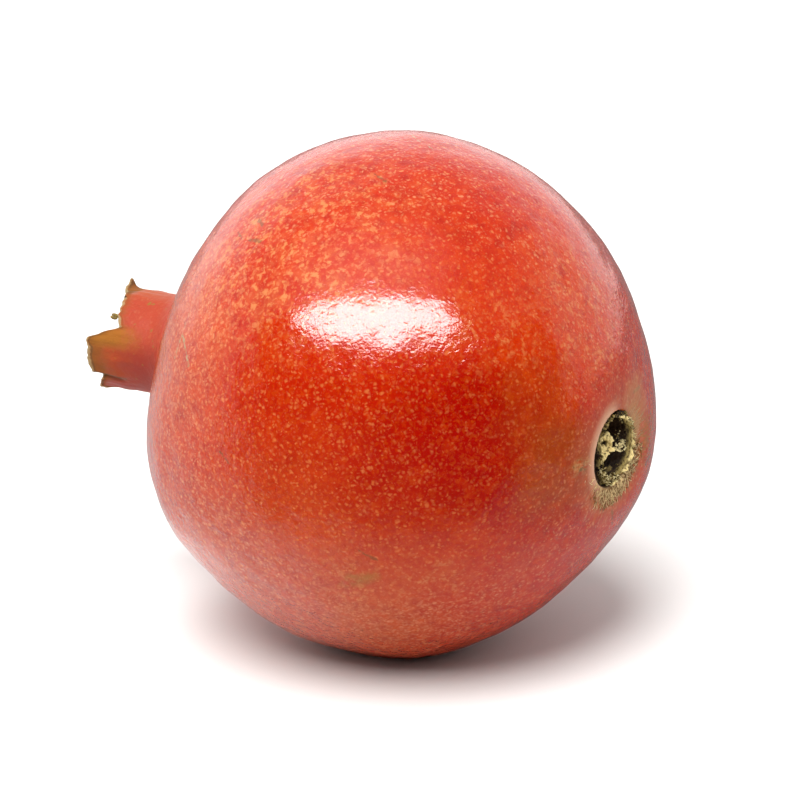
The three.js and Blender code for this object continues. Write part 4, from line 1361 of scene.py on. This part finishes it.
# what the wax mirrors: a black curtain behind the camera's place, and the table, which is dark
# from its front edge on. Both show only as reflections.
CURTAIN_RADIUS = 0.45
CURTAIN_LEFT, CURTAIN_RIGHT = -74, 84
CURTAIN_TOP = 34
CURTAIN_FOLDS = 24
CLOTH_BLACK = "#050505"
TABLE_EDGE = 0.085
MIRRORED_RADIUS = 3.0
MIRRORED_LEVEL = 0.0001
MIRRORED_LEFT, MIRRORED_AHEAD, MIRRORED_RIGHT = 0.48, 0.16, 0.22

arc = [CAMERA_AZIMUTH + turn for turn in np.linspace(CURTAIN_LEFT, CURTAIN_RIGHT, CURTAIN_FOLDS)]
curtain_height = MIDDLE.z + CURTAIN_RADIUS * math.tan(math.radians(CURTAIN_TOP))
curtain_points = [direction(turn, 0) * CURTAIN_RADIUS + Vector((0, 0, level))
                  for level in (0.001, curtain_height) for turn in arc]
curtain_faces = [(i, i + 1, i + 1 + len(arc), i + len(arc)) for i in range(len(arc) - 1)]
curtain = mesh_object("curtain", np.array(curtain_points), curtain_faces)
black_cloth, cloth_tree = new_material("black cloth")
surface(cloth_tree, {"Color": linear(CLOTH_BLACK)}, "ShaderNodeBsdfDiffuse")
curtain.data.materials.append(black_cloth)

# the table ends at its front edge, nearer at the left and right corners, and is paler to the sides
mirrored = sheet_object("mirrored_table", MIRRORED_RADIUS, MIRRORED_LEVEL)
mirrored_top, mirrored_tree = new_material("table as the wax mirrors it")
spot = add(mirrored_tree, "ShaderNodeTexCoord")["Object"]
reach = add(mirrored_tree, "ShaderNodeVectorMath", {0: spot}, operation="LENGTH")["Value"]
way = add(mirrored_tree, "ShaderNodeVectorMath", {0: spot}, operation="NORMALIZE")[0]
forward = share_along(mirrored_tree, way, direction(CAMERA_AZIMUTH + (CURTAIN_LEFT + CURTAIN_RIGHT) / 2, 0))
to_left = share_along(mirrored_tree, way, -right)
half_arc = math.radians((CURTAIN_RIGHT - CURTAIN_LEFT) / 2)
corner = add(mirrored_tree, "ShaderNodeMath", {
    0: reach, 1: mask(mirrored_tree, (to_left, 0.78, 0.96, 1.0, 2.0))}, operation="DIVIDE")[0]
corner = add(mirrored_tree, "ShaderNodeMath", {
    0: corner, 1: mask(mirrored_tree, (to_left, -0.45, -0.9, 1.0, 1.9))}, operation="DIVIDE")[0]
past_edge = mask(mirrored_tree, (forward, math.cos(half_arc + 0.06), math.cos(half_arc - 0.06)),
                 (corner, TABLE_EDGE - 0.004, TABLE_EDGE + 0.004))
shown = add(mirrored_tree, "ShaderNodeMath", {
    0: mask(mirrored_tree, (to_left, 0.0, 0.95, MIRRORED_AHEAD, MIRRORED_LEFT)),
    1: mask(mirrored_tree, (to_left, -0.2, -0.9, 0.0, MIRRORED_RIGHT - MIRRORED_AHEAD))})[0]
shown = mask(mirrored_tree, shown, (past_edge, 0.0, 1.0, 1.0, 0.0), (reach, 0.045, TABLE_EDGE, 1.7, 1.0))
grey = add(mirrored_tree, "ShaderNodeCombineColor", {0: shown, 1: shown, 2: shown})[0]
surface(mirrored_tree, {"Color": grey}, "ShaderNodeBsdfDiffuse")
mirrored.data.materials.append(mirrored_top)

for card in (curtain, mirrored):
    card.visible_camera = False
    card.visible_diffuse = False
    card.visible_shadow = card is curtain

bpy.context.scene.view_settings.view_transform = "Standard"
